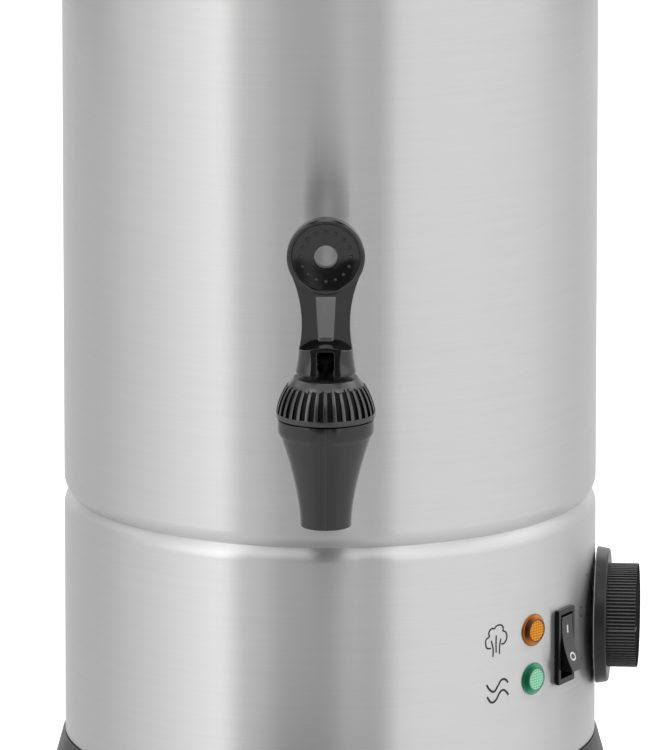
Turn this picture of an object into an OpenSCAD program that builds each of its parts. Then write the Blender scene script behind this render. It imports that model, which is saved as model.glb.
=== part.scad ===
// Mulled wine urn: a double-walled steel urn on a plastic base ring, with a
// non-drip lever tap, a thermostat knob, a rocker switch and two lamps.
// Millimetres, +Z up. The origin lies on the table under the urn's axis.
// The tap faces -Y, and +X is to the right of someone facing the tap.

/* [Body] */
// Outer radius of the casing
casing_r = 120; // [112:1:135]
// Sheet thickness of the casing, the tank and the lid
sheet = 0.8; // [0.6:0.1:1.2]
// Height from the casing's lower edge to the middle of the groove
band_h = 111.5; // [107:0.5:129]
// Height of the rolled groove
groove_h = 14; // [9:0.5:20]
// Depth of the rolled groove
groove_depth = 3.2; // [1.5:0.1:5]
// Insulating gap between the casing and the tank
wall_gap = 6.4; // [5.6:0.2:10]
// Height of the tank floor above the middle of the groove
floor_rise = 28.5; // [23:0.5:35]
// Inside depth of the tank
tank_depth = 268; // [240:1:320]
// Inside radius between the tank's floor and its wall
tank_corner_r = 8; // [4:1:14]
// Radius of the rolled rim of the tank
rim_r = 2.2; // [1.5:0.1:3]

/* [Base] */
// Gap between the table and the base ring
ground_gap = 6; // [4:0.5:10]
// Height of the base ring up to the casing's lower edge
base_h = 26; // [24:1:36]
// How far the foot of the base ring stands out from the casing
base_flare = 8; // [4:0.5:12]
// How far the top of the base ring stands out from the casing
base_lip = 1.2; // [0.8:0.1:2]
// Wall thickness of the base ring
base_wall = 2.6; // [2:0.2:4]
// Height of the base ring's spigot inside the casing
spigot_h = 6; // [4:0.5:10]
// Height of the base plate above the lower edge of the base ring
plate_rise = 6; // [5:0.5:8]
// Thickness of the base plate
plate_t = 1.2; // [0.8:0.2:2]
// Width of the inner flange that carries the base plate
flange_w = 22; // [20:1:28]
// Thickness of the inner flange
flange_t = 2.4; // [2:0.2:4]
// Radius of a rubber foot
foot_r = 10; // [9:0.5:10.5]
// Number of rubber feet
foot_count = 4; // [3:1:6]

/* [Heater] */
// Radius of the heater plate under the tank
heater_r = 82; // [70:1:90]
// Thickness of the heater plate
heater_t = 5; // [4:0.5:8]
// Radius of the ring of the heating element
element_ring_r = 56; // [50:1:62]
// Radius of the heating element's tube
element_r = 4.2; // [3:0.1:5]
// Radius of the tie rod between the tank and the base plate
tie_r = 3; // [2.5:0.25:4]

/* [Tap] */
// Distance of the tap's axis from the casing
tap_reach = 42; // [40:0.5:52]
// Height of the seam between bonnet and spout above the middle of the groove
tap_rise = 70.5; // [63:0.5:91]
// Largest radius of the bonnet
bonnet_r = 22; // [21.4:0.1:23.5]
// Height of the bonnet
bonnet_h = 17.8; // [17:0.2:20]
// Number of ribs round the bonnet
rib_count = 32; // [24:1:40]
// How far the ribs stand out
rib_h = 1.3; // [0.8:0.1:1.6]
// Height of the plain band under the ribs
bonnet_band_h = 2.4; // [1.5:0.1:4]
// Height of the ribs' upper ends above the seam
rib_top = 14.2; // [12:0.1:15]
// Length of the spout below the seam
spout_len = 49; // [44:0.5:60]
// Outer radius of the spout's mouth
spout_r = 11.2; // [10.6:0.1:13]
// Wall of the spout at its mouth
spout_wall = 2.2; // [1.8:0.1:2.6]
// Radius of the threaded shank
shank_r = 9; // [8.5:0.1:9.4]
// Bore of the shank
shank_bore_r = 5.5; // [4:0.1:5.6]
// Drop of the shank's axis below the seam
shank_drop = 9.7; // [9.7:0.1:10]
// Radius of the stem
stem_r = 3.4; // [3:0.1:3.5]
// Radius of the opening in the valve seat
seat_r = 6.2; // [5:0.1:6.6]
// Radius of the seat cup
cup_r = 9; // [8.4:0.1:10]
// Height of the seat cup
cup_h = 6; // [5:0.2:7]
// Wire radius of the return spring
spring_wire_r = 0.5; // [0.4:0.05:0.6]
// Number of turns of the return spring
spring_turns = 6; // [4:1:7]

/* [Lever] */
// Radius of the round lever head
head_r = 17.1; // [16:0.1:19]
// Height of the head's centre above the seam
head_rise = 71; // [70:0.2:80]
// Radius of the dished recess in the head
dish_r = 15; // [14:0.1:15.2]
// Depth of the dished recess
dish_depth = 2.4; // [1:0.1:3]
// Radius of the hole in the middle of the head
head_hole_r = 5; // [3:0.1:6]
// Number of grip dots in the dish
dot_count = 16; // [8:1:20]
// Radius of one grip dot
dot_r = 0.9; // [0.6:0.1:1.2]
// Half the width of the lever at its neck
neck_half = 10.6; // [9.8:0.1:11.4]
// Height of the neck above the seam
neck_rise = 41; // [39:0.2:44]
// Thickness of the lever's plate
lever_t = 6; // [5:0.2:8]
// Radius of the lever's foot at the bottom
foot_low_r = 13.3; // [12.8:0.1:13.6]
// Radius of the lever's foot at the top
foot_top_r = 11.8; // [11.4:0.1:12.2]
// Height of the arched top of the foot above the seam
foot_rise = 32.8; // [31.6:0.1:33.6]
// Gap between the bonnet and the lever's foot
foot_gap = 1.8; // [1.6:0.1:2.4]
// Distance of the foot's front face from the stem's axis, at the bottom
foot_front = 11.5; // [10.5:0.1:11.6]
// Height of the lever pin above the foot's underside
pin_rise = 5.9; // [5.4:0.1:6.2]
// Radius of the lever pin
pin_r = 1.6; // [1.2:0.1:1.8]

/* [Panel] */
// Angle of the lamps round the body, from the tap towards +X
lamp_angle = 49.7; // [45:0.1:51]
// Height of the lamps' middle above the casing's lower edge
lamp_rise = 53.3; // [40:0.1:70]
// Height between the two lamps
lamp_pitch = 22.4; // [18:0.1:28]
// Radius of a lamp's flange
lamp_flange_r = 7.3; // [6.8:0.1:8]
// Radius of a lamp's raised lens
lens_r = 5.2; // [4:0.1:5.6]
// Radius of a lamp's body behind the flange
lamp_body_r = 6; // [5:0.1:6.2]
// Angle of the switch round the body
switch_angle = 60.9; // [60.5:0.1:64]
// Height of the switch's middle above the casing's lower edge
switch_rise = 52.8; // [40:0.1:70]
// Width of the switch's bezel
bezel_w = 14.8; // [14.4:0.1:17]
// Height of the switch's bezel
bezel_h = 34.5; // [34:0.1:38]
// Thickness of the switch's bezel
bezel_t = 2.2; // [1.6:0.1:2.6]
// Half the length of the rocker
rocker_half = 12.7; // [12:0.1:12.8]
// Width of the rocker
rocker_w = 9.8; // [9:0.1:9.9]
// Tilt of the rocker at rest
rocker_tilt = 13; // [9:0.5:14]
// Angle of the thermostat knob round the body
knob_angle = 86.4; // [85:0.1:90]
// Height of the knob's axis above the casing's lower edge
knob_rise = 54; // [45:0.1:70]
// Radius of the knob's skirt
skirt_r = 31; // [30:0.1:32]
// Radius of the knob's grip
grip_r = 23.5; // [20:0.1:26]
// Gap between the casing and the skirt
skirt_gap = 0.8; // [0.6:0.1:2]
// Thickness of the skirt
skirt_t = 5.7; // [5:0.1:7]
// Length of the grip in front of the skirt
grip_len = 13; // [11:0.1:18]
// Number of flutes round the grip
flute_count = 90; // [60:1:100]
// Depth of a flute
flute_depth = 0.5; // [0.3:0.05:0.7]
// Radius of the thermostat's shaft
shaft_r = 3; // [2.5:0.1:3.2]

/* [Handles and lid] */
// Height of the rim above the handles
handle_drop = 36; // [32:1:78]
// Radius of the handle's arch
arch_r = 40; // [36:1:46]
// Thickness of the handle's grip
grip_t = 13; // [11:0.5:15]
// Height of the handle's grip
grip_h = 22; // [18:0.5:26]
// Height of the lid's dome
dome_h = 20; // [12:1:30]
// Height of the lid's skirt inside the tank
lid_skirt_h = 10; // [6:1:16]
// Radius of the lid's knob
lid_knob_r = 20; // [16:0.5:24]
// Height of the lid's knob
lid_knob_h = 30; // [26:0.5:36]

/* [Cord inlet] */
// Height of the cable gland above the casing's lower edge
gland_rise = 24; // [20:1:40]
// Bore of the cable gland
gland_bore_r = 3.5; // [3:0.1:4.5]

/* [Fits] */
// Radial clearance of a running fit
run_clear = 0.05; // [0.03:0.01:0.09]
// Radial clearance of a hole round a fixed piece
hole_clear = 0.3; // [0.2:0.05:0.5]
// Clearance between neighbouring moving pieces
move_clear = 0.3; // [0.3:0.05:0.5]

/* [Hidden] */
$fn = 96;
// Heights that follow from the sizes above
casing_z = ground_gap + base_h;
groove_z = casing_z + band_h;
tank_floor_z = groove_z + floor_rise;
tank_bottom_z = tank_floor_z - sheet;
rim_z = tank_floor_z + tank_depth;
casing_top_z = rim_z - sheet;
plate_top_z = ground_gap + plate_rise;
plate_bottom_z = plate_top_z - plate_t;
flange_top_z = plate_top_z + flange_t;
heater_bottom_z = tank_bottom_z - heater_t;
tap_z = groove_z + tap_rise;
shank_z = tap_z - shank_drop;
lamp_z = casing_z + lamp_rise;
switch_z = casing_z + switch_rise;
knob_z = casing_z + knob_rise;
gland_z = casing_z + gland_rise;
handle_z = rim_z - handle_drop;
lid_top_z = rim_z + sheet + dome_h;
// Radii that follow from the sizes above
casing_in_r = casing_r - sheet;
tank_out_r = casing_in_r - wall_gap;
tank_r = tank_out_r - sheet;
rim_c = casing_r + hole_clear + rim_r;
tap_y = casing_r + tap_reach;
// Base ring
lip_drop = 0.8;
lip_round = 0.7;
spigot_r = casing_in_r - 0.2;
seat_edge_r = casing_r - sheet / 4;
foot_circle_r = casing_r - flange_w / 2;
boss_r = 5;
boss_h = 10;
foot_screw_r = 2;
screw_head_r = 4;
screw_head_h = 2.4;
foot_recess = 4;
// Tap
tap_neck_r = 17.5;
tap_neck_h = 8;
chamber_r = 12.6;
chamber_depth = 16;
seat_lip = 1.2;
seat_t = 3;
seat_wall = 1.4;
seat_gap = 0.1;
seam_gap = 0.7;
shoulder_r = 5.5;
shoulder_turn = 40;
shoulder_z = -5.2;
shoulder_in = 0.8;
spout_end_z = 1 - spout_len;
spout_power = 1.6;
bonnet_top_t = 4.2;
bonnet_floor_r = bonnet_r - rib_h;
bonnet_top_r = 14;
rib_share = 0.42;
seal_t = 2;
seal_r = 6.4;
tap_flange_r = 15;
tap_flange_t = 4;
washer_t = 3;
tap_nut_af = 27;
tap_nut_t = 7;
shank_tail = 4;
cup_top_z = -chamber_depth + seat_lip + seat_gap + cup_h;
stem_nose_r = 2.4;
stem_nose_h = 3.6;
bonnet_ceiling_z = bonnet_h - bonnet_top_t;
spring_low_z = cup_top_z + spring_wire_r + 0.1;
spring_high_z = bonnet_ceiling_z - seal_t - spring_wire_r - 0.1;
spring_r = stem_r + 1.6;
// Lever
foot_z = bonnet_h + foot_gap;
pin_z = foot_z + pin_rise;
slot_half = stem_r + move_clear;
slot_top_z = pin_z + stem_r + 1.9;
slot_round = 1;
foot_lean = 2.2;
head_t = 7;
edge_round = 0.9;
rim_round = 0.4;
blend_r = head_r - 0.2;
neck_arc = (pow(neck_half, 2) + pow(head_rise - neck_rise, 2) - pow(blend_r, 2))
    / (2 * (blend_r - neck_half));
tangent_share = blend_r / (blend_r + neck_arc);
tangent_x = (neck_half + neck_arc) * tangent_share;
tangent_z = head_rise - (head_rise - neck_rise) * tangent_share;
window_low = 0.9;
window_high = 19.7;
window_low_half = 3.4;
window_high_half = 4.3;
window_round = 1.2;
// Panel
opening_w = rocker_w + 2 * move_clear;
bezel_edge = 2.8;
opening_h = bezel_h - 2 * bezel_edge;
housing_w = 13;
housing_h = bezel_h - 4;
housing_depth = 22;
pivot_depth = 4;
pivot_r = 1.5;
rocker_rise = 3.4;
rocker_valley = 1.4;
blade_w = 6.3;
blade_t = 0.8;
blade_len = 9;
lamp_depth = 18;
lens_flange_h = 1.3;
lens_h = 2.5;
lens_round = 0.6;
lamp_nut_t = 3;
bush_r = 5;
shaft_len = 15;
hub_r = 7;
shell_t = 2.4;
skirt_draft = 0.8;
thermo_screw_pitch = 28;
thermo_w = 34;
thermo_h = 34;
thermo_depth = 28;
thermo_plate_w = 20;
thermo_plate_h = 40;
thermo_plate_t = 2;
thermo_front = sheet + casing_in_r - sqrt(pow(casing_in_r, 2) - pow(thermo_plate_w / 2, 2)) + 0.05;
// Handles and lid
boss_turn = asin(arch_r / casing_r);
handle_boss_r = 10;
handle_boss_h = 15;
handle_screw_r = 2;
lid_clear = 0.8;
lid_r = casing_r + 1;
lid_skirt_r = tank_r - lid_clear;
lid_dome_r = lid_skirt_r - sheet;
lid_screw_r = 2.5;
vent_r = 2.5;
// Cable gland: its thread, its hexagon, the wider passage behind the bore and where that ends
gland_r = 7.5;
gland_af = 22;
gland_passage_r = gland_bore_r + 1.2;
gland_step_z = 1;
// Steps along a curve, over the groove, along a rib and round a large wall
curve_steps = 14;
groove_steps = 24;
rib_steps = 7;
wall_sides = 360;

// Places children on the casing: local x runs to the right, y up and z outwards
module on_wall(angle, height) {
    rotate([0, 0, angle])
        translate([0, -casing_r, height])
        rotate([90, 0, 0])
        children();
}

// Places children on the tap's axis at the height of its seam
module at_tap() {
    translate([0, -tap_y, tap_z]) children();
}

// A hexagonal prism across flats
module hexagon(across, height) {
    cylinder(r = across / 2 / cos(30), h = height, $fn = 6);
}

// A box centred on x and y
module block(size_x, size_y, size_z) {
    translate([-size_x / 2, -size_y / 2, 0]) cube([size_x, size_y, size_z]);
}

// A tube with closed ends over rings of points
module swept(rings) {
    sides = len(rings[0]);
    last = (len(rings) - 1) * sides;
    walls = [for (i = [0 : len(rings) - 2]) for (j = [0 : sides - 1])
        let (a = i * sides + j, b = i * sides + (j + 1) % sides)
        each [[a, a + sides, b], [b, a + sides, b + sides]]];
    ends = [for (j = [1 : sides - 2]) each [[0, j, j + 1], [last, last + j + 1, last + j]]];
    polyhedron([for (ring = rings) each ring], concat(walls, ends));
}

// A ring of points round a place, square to a direction
function ring_at(place, way, radius, sides) =
    let (across = cross(way, [0.3, 1, 0.2]), u = across / norm(across), v = cross(u, way) / norm(way))
    [for (j = [0 : sides - 1]) let (a = 360 * j / sides)
        place + radius * (cos(a) * u + sin(a) * v)];

// A smooth route through bends, with a few points round each bend
function smooth_route(bends) = concat([bends[0]],
    [for (i = [1 : len(bends) - 2]) for (t = [0 : 0.25 : 1])
        let (from = (bends[i - 1] + bends[i]) / 2, to = (bends[i] + bends[i + 1]) / 2)
        (1 - t) * (1 - t) * from + 2 * t * (1 - t) * bends[i] + t * t * to],
    [bends[len(bends) - 1]]);

// A round tube along a route
module tube_along(bends, radius, sides = 8) {
    route = smooth_route(bends);
    last = len(route) - 1;
    swept([for (i = [0 : last])
        ring_at(route[i], route[min(i + 1, last)] - route[max(i - 1, 0)], radius, sides)]);
}

// Points of an arc about a centre, from one angle to another
function arc(centre, radius, from, to, steps = curve_steps) =
    [for (i = [0 : steps]) let (a = from + (to - from) * i / steps)
        centre + radius * [cos(a), sin(a)]];

function reversed(list) = [for (i = [len(list) - 1 : -1 : 0]) list[i]];

// A rectangle about the origin with round corners
function round_box(w, h, r) = concat(
    arc([w / 2 - r, h / 2 - r], r, 0, 90, 4),
    arc([r - w / 2, h / 2 - r], r, 90, 180, 4),
    arc([r - w / 2, r - h / 2], r, 180, 270, 4),
    arc([w / 2 - r, r - h / 2], r, 270, 360, 4));

// Body

// Inward depth of the rolled groove at a height: two round shoulders that meet in a sharp valley
function groove_in(z) = groove_depth * pow(1 - 2 * abs(z - groove_z) / groove_h, 2);

groove_line = [for (i = [0 : groove_steps]) let (z = groove_z + groove_h * (i / groove_steps - 0.5))
    [casing_r - groove_in(z), z]];
casing_line = concat([[casing_r, casing_z]], groove_line, [[casing_r, casing_top_z]]);

module casing() {
    color("silver")
    difference() {
        rotate_extrude()
            polygon(concat(casing_line, [for (p = reversed(casing_line)) [p[0] - sheet, p[1]]]));
        on_wall(0, shank_z)
            wall_hole(shank_r + hole_clear);
        for (side = [-1, 1]) {
            on_wall(lamp_angle, lamp_z + side * lamp_pitch / 2)
                wall_hole(lamp_body_r + hole_clear);
            on_wall(knob_angle, knob_z + side * thermo_screw_pitch / 2)
                wall_hole(foot_screw_r + hole_clear);
            for (end = [-1, 1]) {
                on_wall(side * 90 + end * boss_turn, handle_z)
                    wall_hole(handle_screw_r + hole_clear);
            }
        }
        on_wall(knob_angle, knob_z)
            wall_hole(bush_r + hole_clear);
        on_wall(switch_angle, switch_z)
            translate([0, 0, -wall_gap])
            block(housing_w + 2 * hole_clear, housing_h + 2 * hole_clear, wall_gap + sheet);
        on_wall(180, gland_z)
            wall_hole(gland_r + hole_clear);
    }
}

// A hole through the casing alone
module wall_hole(radius) {
    translate([0, 0, -wall_gap]) cylinder(r = radius, h = wall_gap + sheet);
}

tank_inside = concat([[0, tank_floor_z]],
    arc([tank_r - tank_corner_r, tank_floor_z + tank_corner_r], tank_corner_r, -90, 0, 6),
    [[tank_r, rim_z]]);
tank_outside = concat([[0, tank_bottom_z]],
    arc([tank_r - tank_corner_r, tank_floor_z + tank_corner_r], tank_corner_r + sheet, -90, 0, 6),
    [[tank_out_r, casing_top_z], [rim_c - rim_r, casing_top_z]]);

module tank() {
    color("gainsboro")
    difference() {
        rotate_extrude()
            polygon(concat(tank_inside,
                arc([rim_c, rim_z - rim_r], rim_r, 90, -180),
                reversed(tank_outside)));
        on_wall(0, shank_z)
            translate([0, 0, tank_r - tank_corner_r - casing_r])
            cylinder(r = shank_r + hole_clear, h = casing_r - tank_r + tank_corner_r);
    }
}

// Base

// Outer radius of the base ring at a height
function flare_r(z) = casing_r + base_lip
    + (base_flare - base_lip) * (casing_z - lip_drop - z) / (base_h - lip_drop);

module base_ring() {
    color([0.09, 0.09, 0.1])
    difference() {
        union() {
            rotate_extrude()
                polygon(concat(
                    [[flare_r(ground_gap), ground_gap],
                    [casing_r + base_lip, casing_z - lip_drop - lip_round]],
                    arc([casing_r + base_lip - lip_round, casing_z - lip_drop - lip_round],
                        lip_round, 0, 90, 4),
                    [[seat_edge_r, casing_z - lip_drop],
                    [seat_edge_r, casing_z],
                    [spigot_r, casing_z],
                    [spigot_r, casing_z + spigot_h],
                    [spigot_r - base_wall, casing_z + spigot_h],
                    [spigot_r - base_wall, flange_top_z],
                    [casing_r - flange_w, flange_top_z],
                    [casing_r - flange_w, plate_top_z],
                    [flare_r(plate_top_z) - base_wall, plate_top_z],
                    [flare_r(ground_gap) - base_wall, ground_gap]]));
            at_feet()
                translate([0, 0, plate_top_z])
                cylinder(r = boss_r, h = flange_t + boss_h);
        }
        at_feet()
            translate([0, 0, plate_top_z - 1])
            cylinder(r = foot_screw_r, h = flange_t + boss_h);
    }
}

module at_feet() {
    for (i = [0 : foot_count - 1]) {
        rotate([0, 0, 45 + i * 360 / foot_count]) translate([foot_circle_r, 0, 0]) children();
    }
}

module base_plate() {
    color("darkgray")
    difference() {
        translate([0, 0, plate_bottom_z])
            cylinder(r = flare_r(plate_top_z) - base_wall - 1, h = plate_t);
        translate([0, 0, plate_bottom_z - 1])
            cylinder(r = tie_r + hole_clear, h = plate_t + 2);
        at_feet()
            translate([0, 0, plate_bottom_z - 1])
            cylinder(r = foot_screw_r + hole_clear, h = plate_t + 2);
        // Cooling slots in two arcs of rays
        for (i = [0 : 11]) {
            rotate([0, 0, i * 30 + 15])
                translate([casing_r / 3, 0, plate_bottom_z - 1])
                linear_extrude(plate_t + 2) polygon(round_box(26, 5, 2.4));
        }
    }
}

module feet() {
    color([0.12, 0.12, 0.12])
    at_feet()
        difference() {
            rotate_extrude()
                polygon([[0, 0], [foot_r - 2, 0], [foot_r - 1, 1], [foot_r, plate_bottom_z],
                    [0, plate_bottom_z]]);
            translate([0, 0, -1]) cylinder(r = screw_head_r + hole_clear, h = foot_recess + 1);
            cylinder(r = foot_screw_r + hole_clear, h = plate_bottom_z + 1);
        }
}

module foot_screws() {
    color("lightgray")
    at_feet()
        difference() {
            union() {
                translate([0, 0, foot_recess - screw_head_h])
                    cylinder(r = screw_head_r, h = screw_head_h);
                translate([0, 0, foot_recess - 0.5])
                    cylinder(r = foot_screw_r, h = flange_top_z + boss_h - 3 - foot_recess);
            }
            translate([0, 0, foot_recess - screw_head_h - 1])
                for (turn = [0, 90]) rotate([0, 0, turn]) block(4.4, 1, 2);
        }
}

module tie_rod() {
    color("lightgray")
    translate([0, 0, plate_bottom_z - 7])
        cylinder(r = tie_r, h = tank_bottom_z - plate_bottom_z + 7);
}

module tie_nut() {
    color("lightgray")
    translate([0, 0, plate_bottom_z - 5])
        difference() {
            hexagon(10 + 2 * (tie_r - 3), 5);
            translate([0, 0, -1]) cylinder(r = tie_r, h = 7);
        }
}

// Heater and controls inside the band

module heater_plate() {
    color("silver")
    translate([0, 0, heater_bottom_z])
        difference() {
            cylinder(r = heater_r, h = heater_t);
            translate([0, 0, -1]) cylinder(r = tie_r + hole_clear, h = heater_t + 2);
        }
}

// A tube with a flat brazed to the heater plate, and its two terminal ends
module heating_element() {
    flat_turn = 40;
    centre_z = heater_bottom_z - element_r * sin(flat_turn);
    gap_turn = 25;
    terminal_len = heater_r * 0.22;
    color("dimgray") {
        translate([0, 0, centre_z])
            rotate([0, 0, gap_turn])
            rotate_extrude(angle = 360 - 2 * gap_turn)
            polygon([for (p = arc([0, 0], element_r, flat_turn, -180 - flat_turn, 12))
                p + [element_ring_r, 0]]);
        for (side = [-1, 1]) {
            rotate([0, 0, side * (gap_turn + 3)])
                translate([element_ring_r, 0, centre_z - terminal_len])
                cylinder(r = element_r * 0.7, h = terminal_len);
        }
    }
}

module boil_dry_cutout() {
    color("white")
    translate([0, heater_r / 3, heater_bottom_z]) {
        translate([0, 0, -3]) cylinder(r = 9, h = 3);
        translate([0, 0, -11]) cylinder(r = 7.5, h = 8.5);
        for (side = [-1, 1]) translate([side * 4, 0, -19]) block(blade_t, blade_w, 9);
    }
}

bulb_r = 3;
capillary_r = 1;
capillary_bend = 8;
capillary_room = 1.7;
bulb_place = [0, -heater_r / 3, heater_bottom_z - bulb_r];
bulb_half = sqrt(pow(element_ring_r, 2) - pow(heater_r / 3, 2))
    - element_r - capillary_r - capillary_room - capillary_bend;
capillary_dip = 5 * element_r + bulb_r;
capillary_slack = 2 * capillary_bend - 2;

module sensor_bulb() {
    color("darkgoldenrod")
    translate(bulb_place)
        rotate([0, 90, 0])
        translate([0, 0, -bulb_half])
        cylinder(r = bulb_r, h = 2 * bulb_half);
}

thermo_back_r = casing_r - thermo_front - thermo_plate_t - thermo_depth;
thermo_way = [sin(knob_angle), -cos(knob_angle), 0];

module capillary_tube() {
    color("goldenrod")
    tube_along([bulb_place + [bulb_half, 0, 0], bulb_place + [bulb_half + capillary_bend - 1, 0, 0],
        bulb_place + [bulb_half + capillary_bend, 2, -capillary_dip],
        (thermo_back_r - capillary_slack) * thermo_way + [0, 0, knob_z + capillary_dip],
        (thermo_back_r - capillary_slack) * thermo_way + [0, 0, knob_z],
        thermo_back_r * thermo_way + [0, 0, knob_z]], capillary_r);
}

module thermostat_body() {
    color("ghostwhite")
    on_wall(knob_angle, knob_z)
        difference() {
            union() {
                translate([0, 0, -thermo_front - thermo_plate_t])
                    block(thermo_plate_w, thermo_plate_h, thermo_plate_t);
                translate([0, 0, -thermo_front - thermo_plate_t - thermo_depth])
                    block(thermo_w, thermo_h, thermo_depth);
                translate([0, 0, -thermo_front - thermo_plate_t])
                    cylinder(r = bush_r, h = thermo_front + thermo_plate_t + 0.4);
                for (side = [-1, 1]) {
                    translate([side * 8, -thermo_h / 2 - blade_len + 1, -20])
                        cube([blade_t, blade_len, blade_w]);
                }
            }
            translate([0, 0, -12]) cylinder(r = shaft_r + run_clear, h = 14);
            for (side = [-1, 1]) {
                translate([0, side * thermo_screw_pitch / 2, -12])
                    cylinder(r = foot_screw_r, h = 14);
            }
        }
}

module thermostat_screws() {
    color("lightgray")
    on_wall(knob_angle, knob_z)
        for (side = [-1, 1]) {
            translate([0, side * thermo_screw_pitch / 2, 0]) {
                cylinder(r = 3.6, h = 1.8);
                translate([0, 0, -9]) cylinder(r = foot_screw_r, h = 9.5);
            }
        }
}

module thermostat_shaft() {
    color("lightgray")
    on_wall(knob_angle, knob_z)
        difference() {
            translate([0, 0, -11.8]) cylinder(r = shaft_r, h = 11.8 + shaft_len);
            translate([-shaft_r, shaft_r * 0.5, 5]) cube([2 * shaft_r, shaft_r, shaft_len]);
        }
}

// Outline of the fluted grip
grip_outline = [for (i = [0 : 4 * flute_count - 1]) let (a = i * 90 / flute_count,
    r = grip_r - (i % 4 < 2 ? 0 : flute_depth)) r * [cos(a), sin(a)]];

module thermostat_knob() {
    skirt_top = skirt_gap + skirt_t;
    color([0.08, 0.08, 0.09])
    on_wall(knob_angle, knob_z)
        difference() {
            union() {
                translate([0, 0, skirt_gap])
                    difference() {
                        rotate_extrude()
                            polygon([[0, 0], [skirt_r - 0.4, 0], [skirt_r, 0.4],
                                [skirt_r - skirt_draft, skirt_t - 0.6],
                                [skirt_r - skirt_draft - 0.6, skirt_t], [0, skirt_t]]);
                        translate([0, 0, -1]) cylinder(r = skirt_r - 3, h = skirt_t - shell_t + 1);
                        translate([0, 0, -1])
                            cylinder(r = grip_r - flute_depth - shell_t, h = skirt_t + 2);
                    }
                translate([0, 0, skirt_top - 0.2])
                    difference() {
                        linear_extrude(grip_len + 0.2) polygon(grip_outline);
                        translate([0, 0, -1])
                            cylinder(r = grip_r - flute_depth - shell_t, h = grip_len - shell_t + 1);
                    }
                translate([0, 0, 2])
                    cylinder(r = hub_r, h = skirt_top + grip_len - shell_t / 2 - 2);
            }
            cylinder(r = shaft_r + 0.02, h = shaft_len + 0.5);
        }
}

module terminal_block() {
    color("ivory")
    translate([-casing_r / 4, casing_r / 2, plate_top_z])
        difference() {
            block(40, 20, 18);
            for (i = [-1 : 1]) {
                translate([i * 12, 0, 10]) cylinder(r = 2.6, h = 9);
                translate([i * 12, 11, 6]) rotate([90, 0, 0]) cylinder(r = 2, h = 22);
            }
        }
}

// Tap

// Outside of the spout, from the seam down to the mouth
taper_from = shoulder_z - shoulder_r * sin(shoulder_turn);
taper_r = bonnet_r - shoulder_in - shoulder_r * (1 - cos(shoulder_turn));
spout_line = concat(
    [[bonnet_r - shoulder_in, -seam_gap]],
    arc([bonnet_r - shoulder_in - shoulder_r, shoulder_z], shoulder_r, 0, -shoulder_turn, 6),
    [for (i = [1 : curve_steps]) let (t = 1 - i / curve_steps)
        [spout_r + (taper_r - spout_r) * pow(t, spout_power),
        spout_end_z + (taper_from - spout_end_z) * t]],
    [[spout_r, -spout_len]]);

module tap_body() {
    outlet_top = -chamber_depth - seat_t;
    color([0.1, 0.1, 0.11])
    at_tap()
        difference() {
            union() {
                rotate_extrude()
                    polygon(concat([[0, tap_neck_h], [tap_neck_r, tap_neck_h], [tap_neck_r, -seam_gap]],
                        spout_line, [[0, -spout_len]]));
                translate([0, 0, -shank_drop])
                    rotate([-90, 0, 0])
                    cylinder(r = shank_r,
                        h = tap_reach + sheet + wall_gap + sheet + washer_t + tap_nut_t + shank_tail);
                translate([0, tap_reach - washer_t - tap_flange_t, -shank_drop])
                    rotate([-90, 0, 0])
                    cylinder(r = tap_flange_r, h = tap_flange_t);
            }
            translate([0, 0, -chamber_depth])
                difference() {
                    cylinder(r = chamber_r, h = chamber_depth + tap_neck_h + 1);
                    translate([0, 0, -1]) cylinder(r = seat_r + seat_wall, h = seat_lip + 1);
                }
            translate([0, 0, outlet_top - 1]) cylinder(r = seat_r, h = seat_t + seat_lip + 2);
            translate([0, 0, -spout_len - 0.01])
                cylinder(r1 = spout_r - spout_wall, r2 = seat_r + 1, h = spout_len + outlet_top + 0.01);
            translate([0, 0, -shank_drop])
                rotate([-90, 0, 0])
                cylinder(r = shank_bore_r, h = tap_reach + casing_r);
        }
}

// A round washer along the shank, shaped to the walls that it lies between
module shank_ring(radius, from, to) {
    on_wall(0, shank_z)
        difference() {
            translate([0, 0, from]) cylinder(r = radius, h = to - from);
            translate([0, 0, from - 1]) cylinder(r = shank_r, h = to - from + 2);
        }
}

module upright(radius) {
    translate([0, 0, shank_z - 2 * tap_flange_r])
        cylinder(r = radius, h = 4 * tap_flange_r, $fn = wall_sides);
}

module tap_washer_outer() {
    color("whitesmoke")
    difference() {
        shank_ring(tap_flange_r - 0.5, -washer_t, washer_t);
        upright(casing_r);
    }
}

module wall_spacer() {
    color("whitesmoke")
    intersection() {
        difference() {
            shank_ring(tap_flange_r - 1, -sheet - 2 * wall_gap, 0);
            upright(tank_out_r);
        }
        upright(casing_in_r);
    }
}

inner_washer_z = -sheet - wall_gap - sheet - washer_t;

module tap_washer_inner() {
    color("whitesmoke")
    intersection() {
        shank_ring(tap_flange_r, inner_washer_z, 0);
        upright(tank_r);
    }
}

module tap_nut() {
    color("whitesmoke")
    on_wall(0, shank_z)
        translate([0, 0, inner_washer_z - tap_nut_t])
        difference() {
            hexagon(tap_nut_af, tap_nut_t);
            translate([0, 0, -1]) cylinder(r = shank_r, h = tap_nut_t + 2);
        }
}

// Radius of the dome at a height, for the floor between the ribs and for the ribs
function dome_r(z, base_r) = base_r * sqrt(1 - (1 - pow(bonnet_top_r / bonnet_floor_r, 2)) * pow(z / bonnet_h, 2));
function rib_r(z) = dome_r(z, bonnet_floor_r) + rib_h * (1 - 0.6 * z / rib_top);

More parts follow.
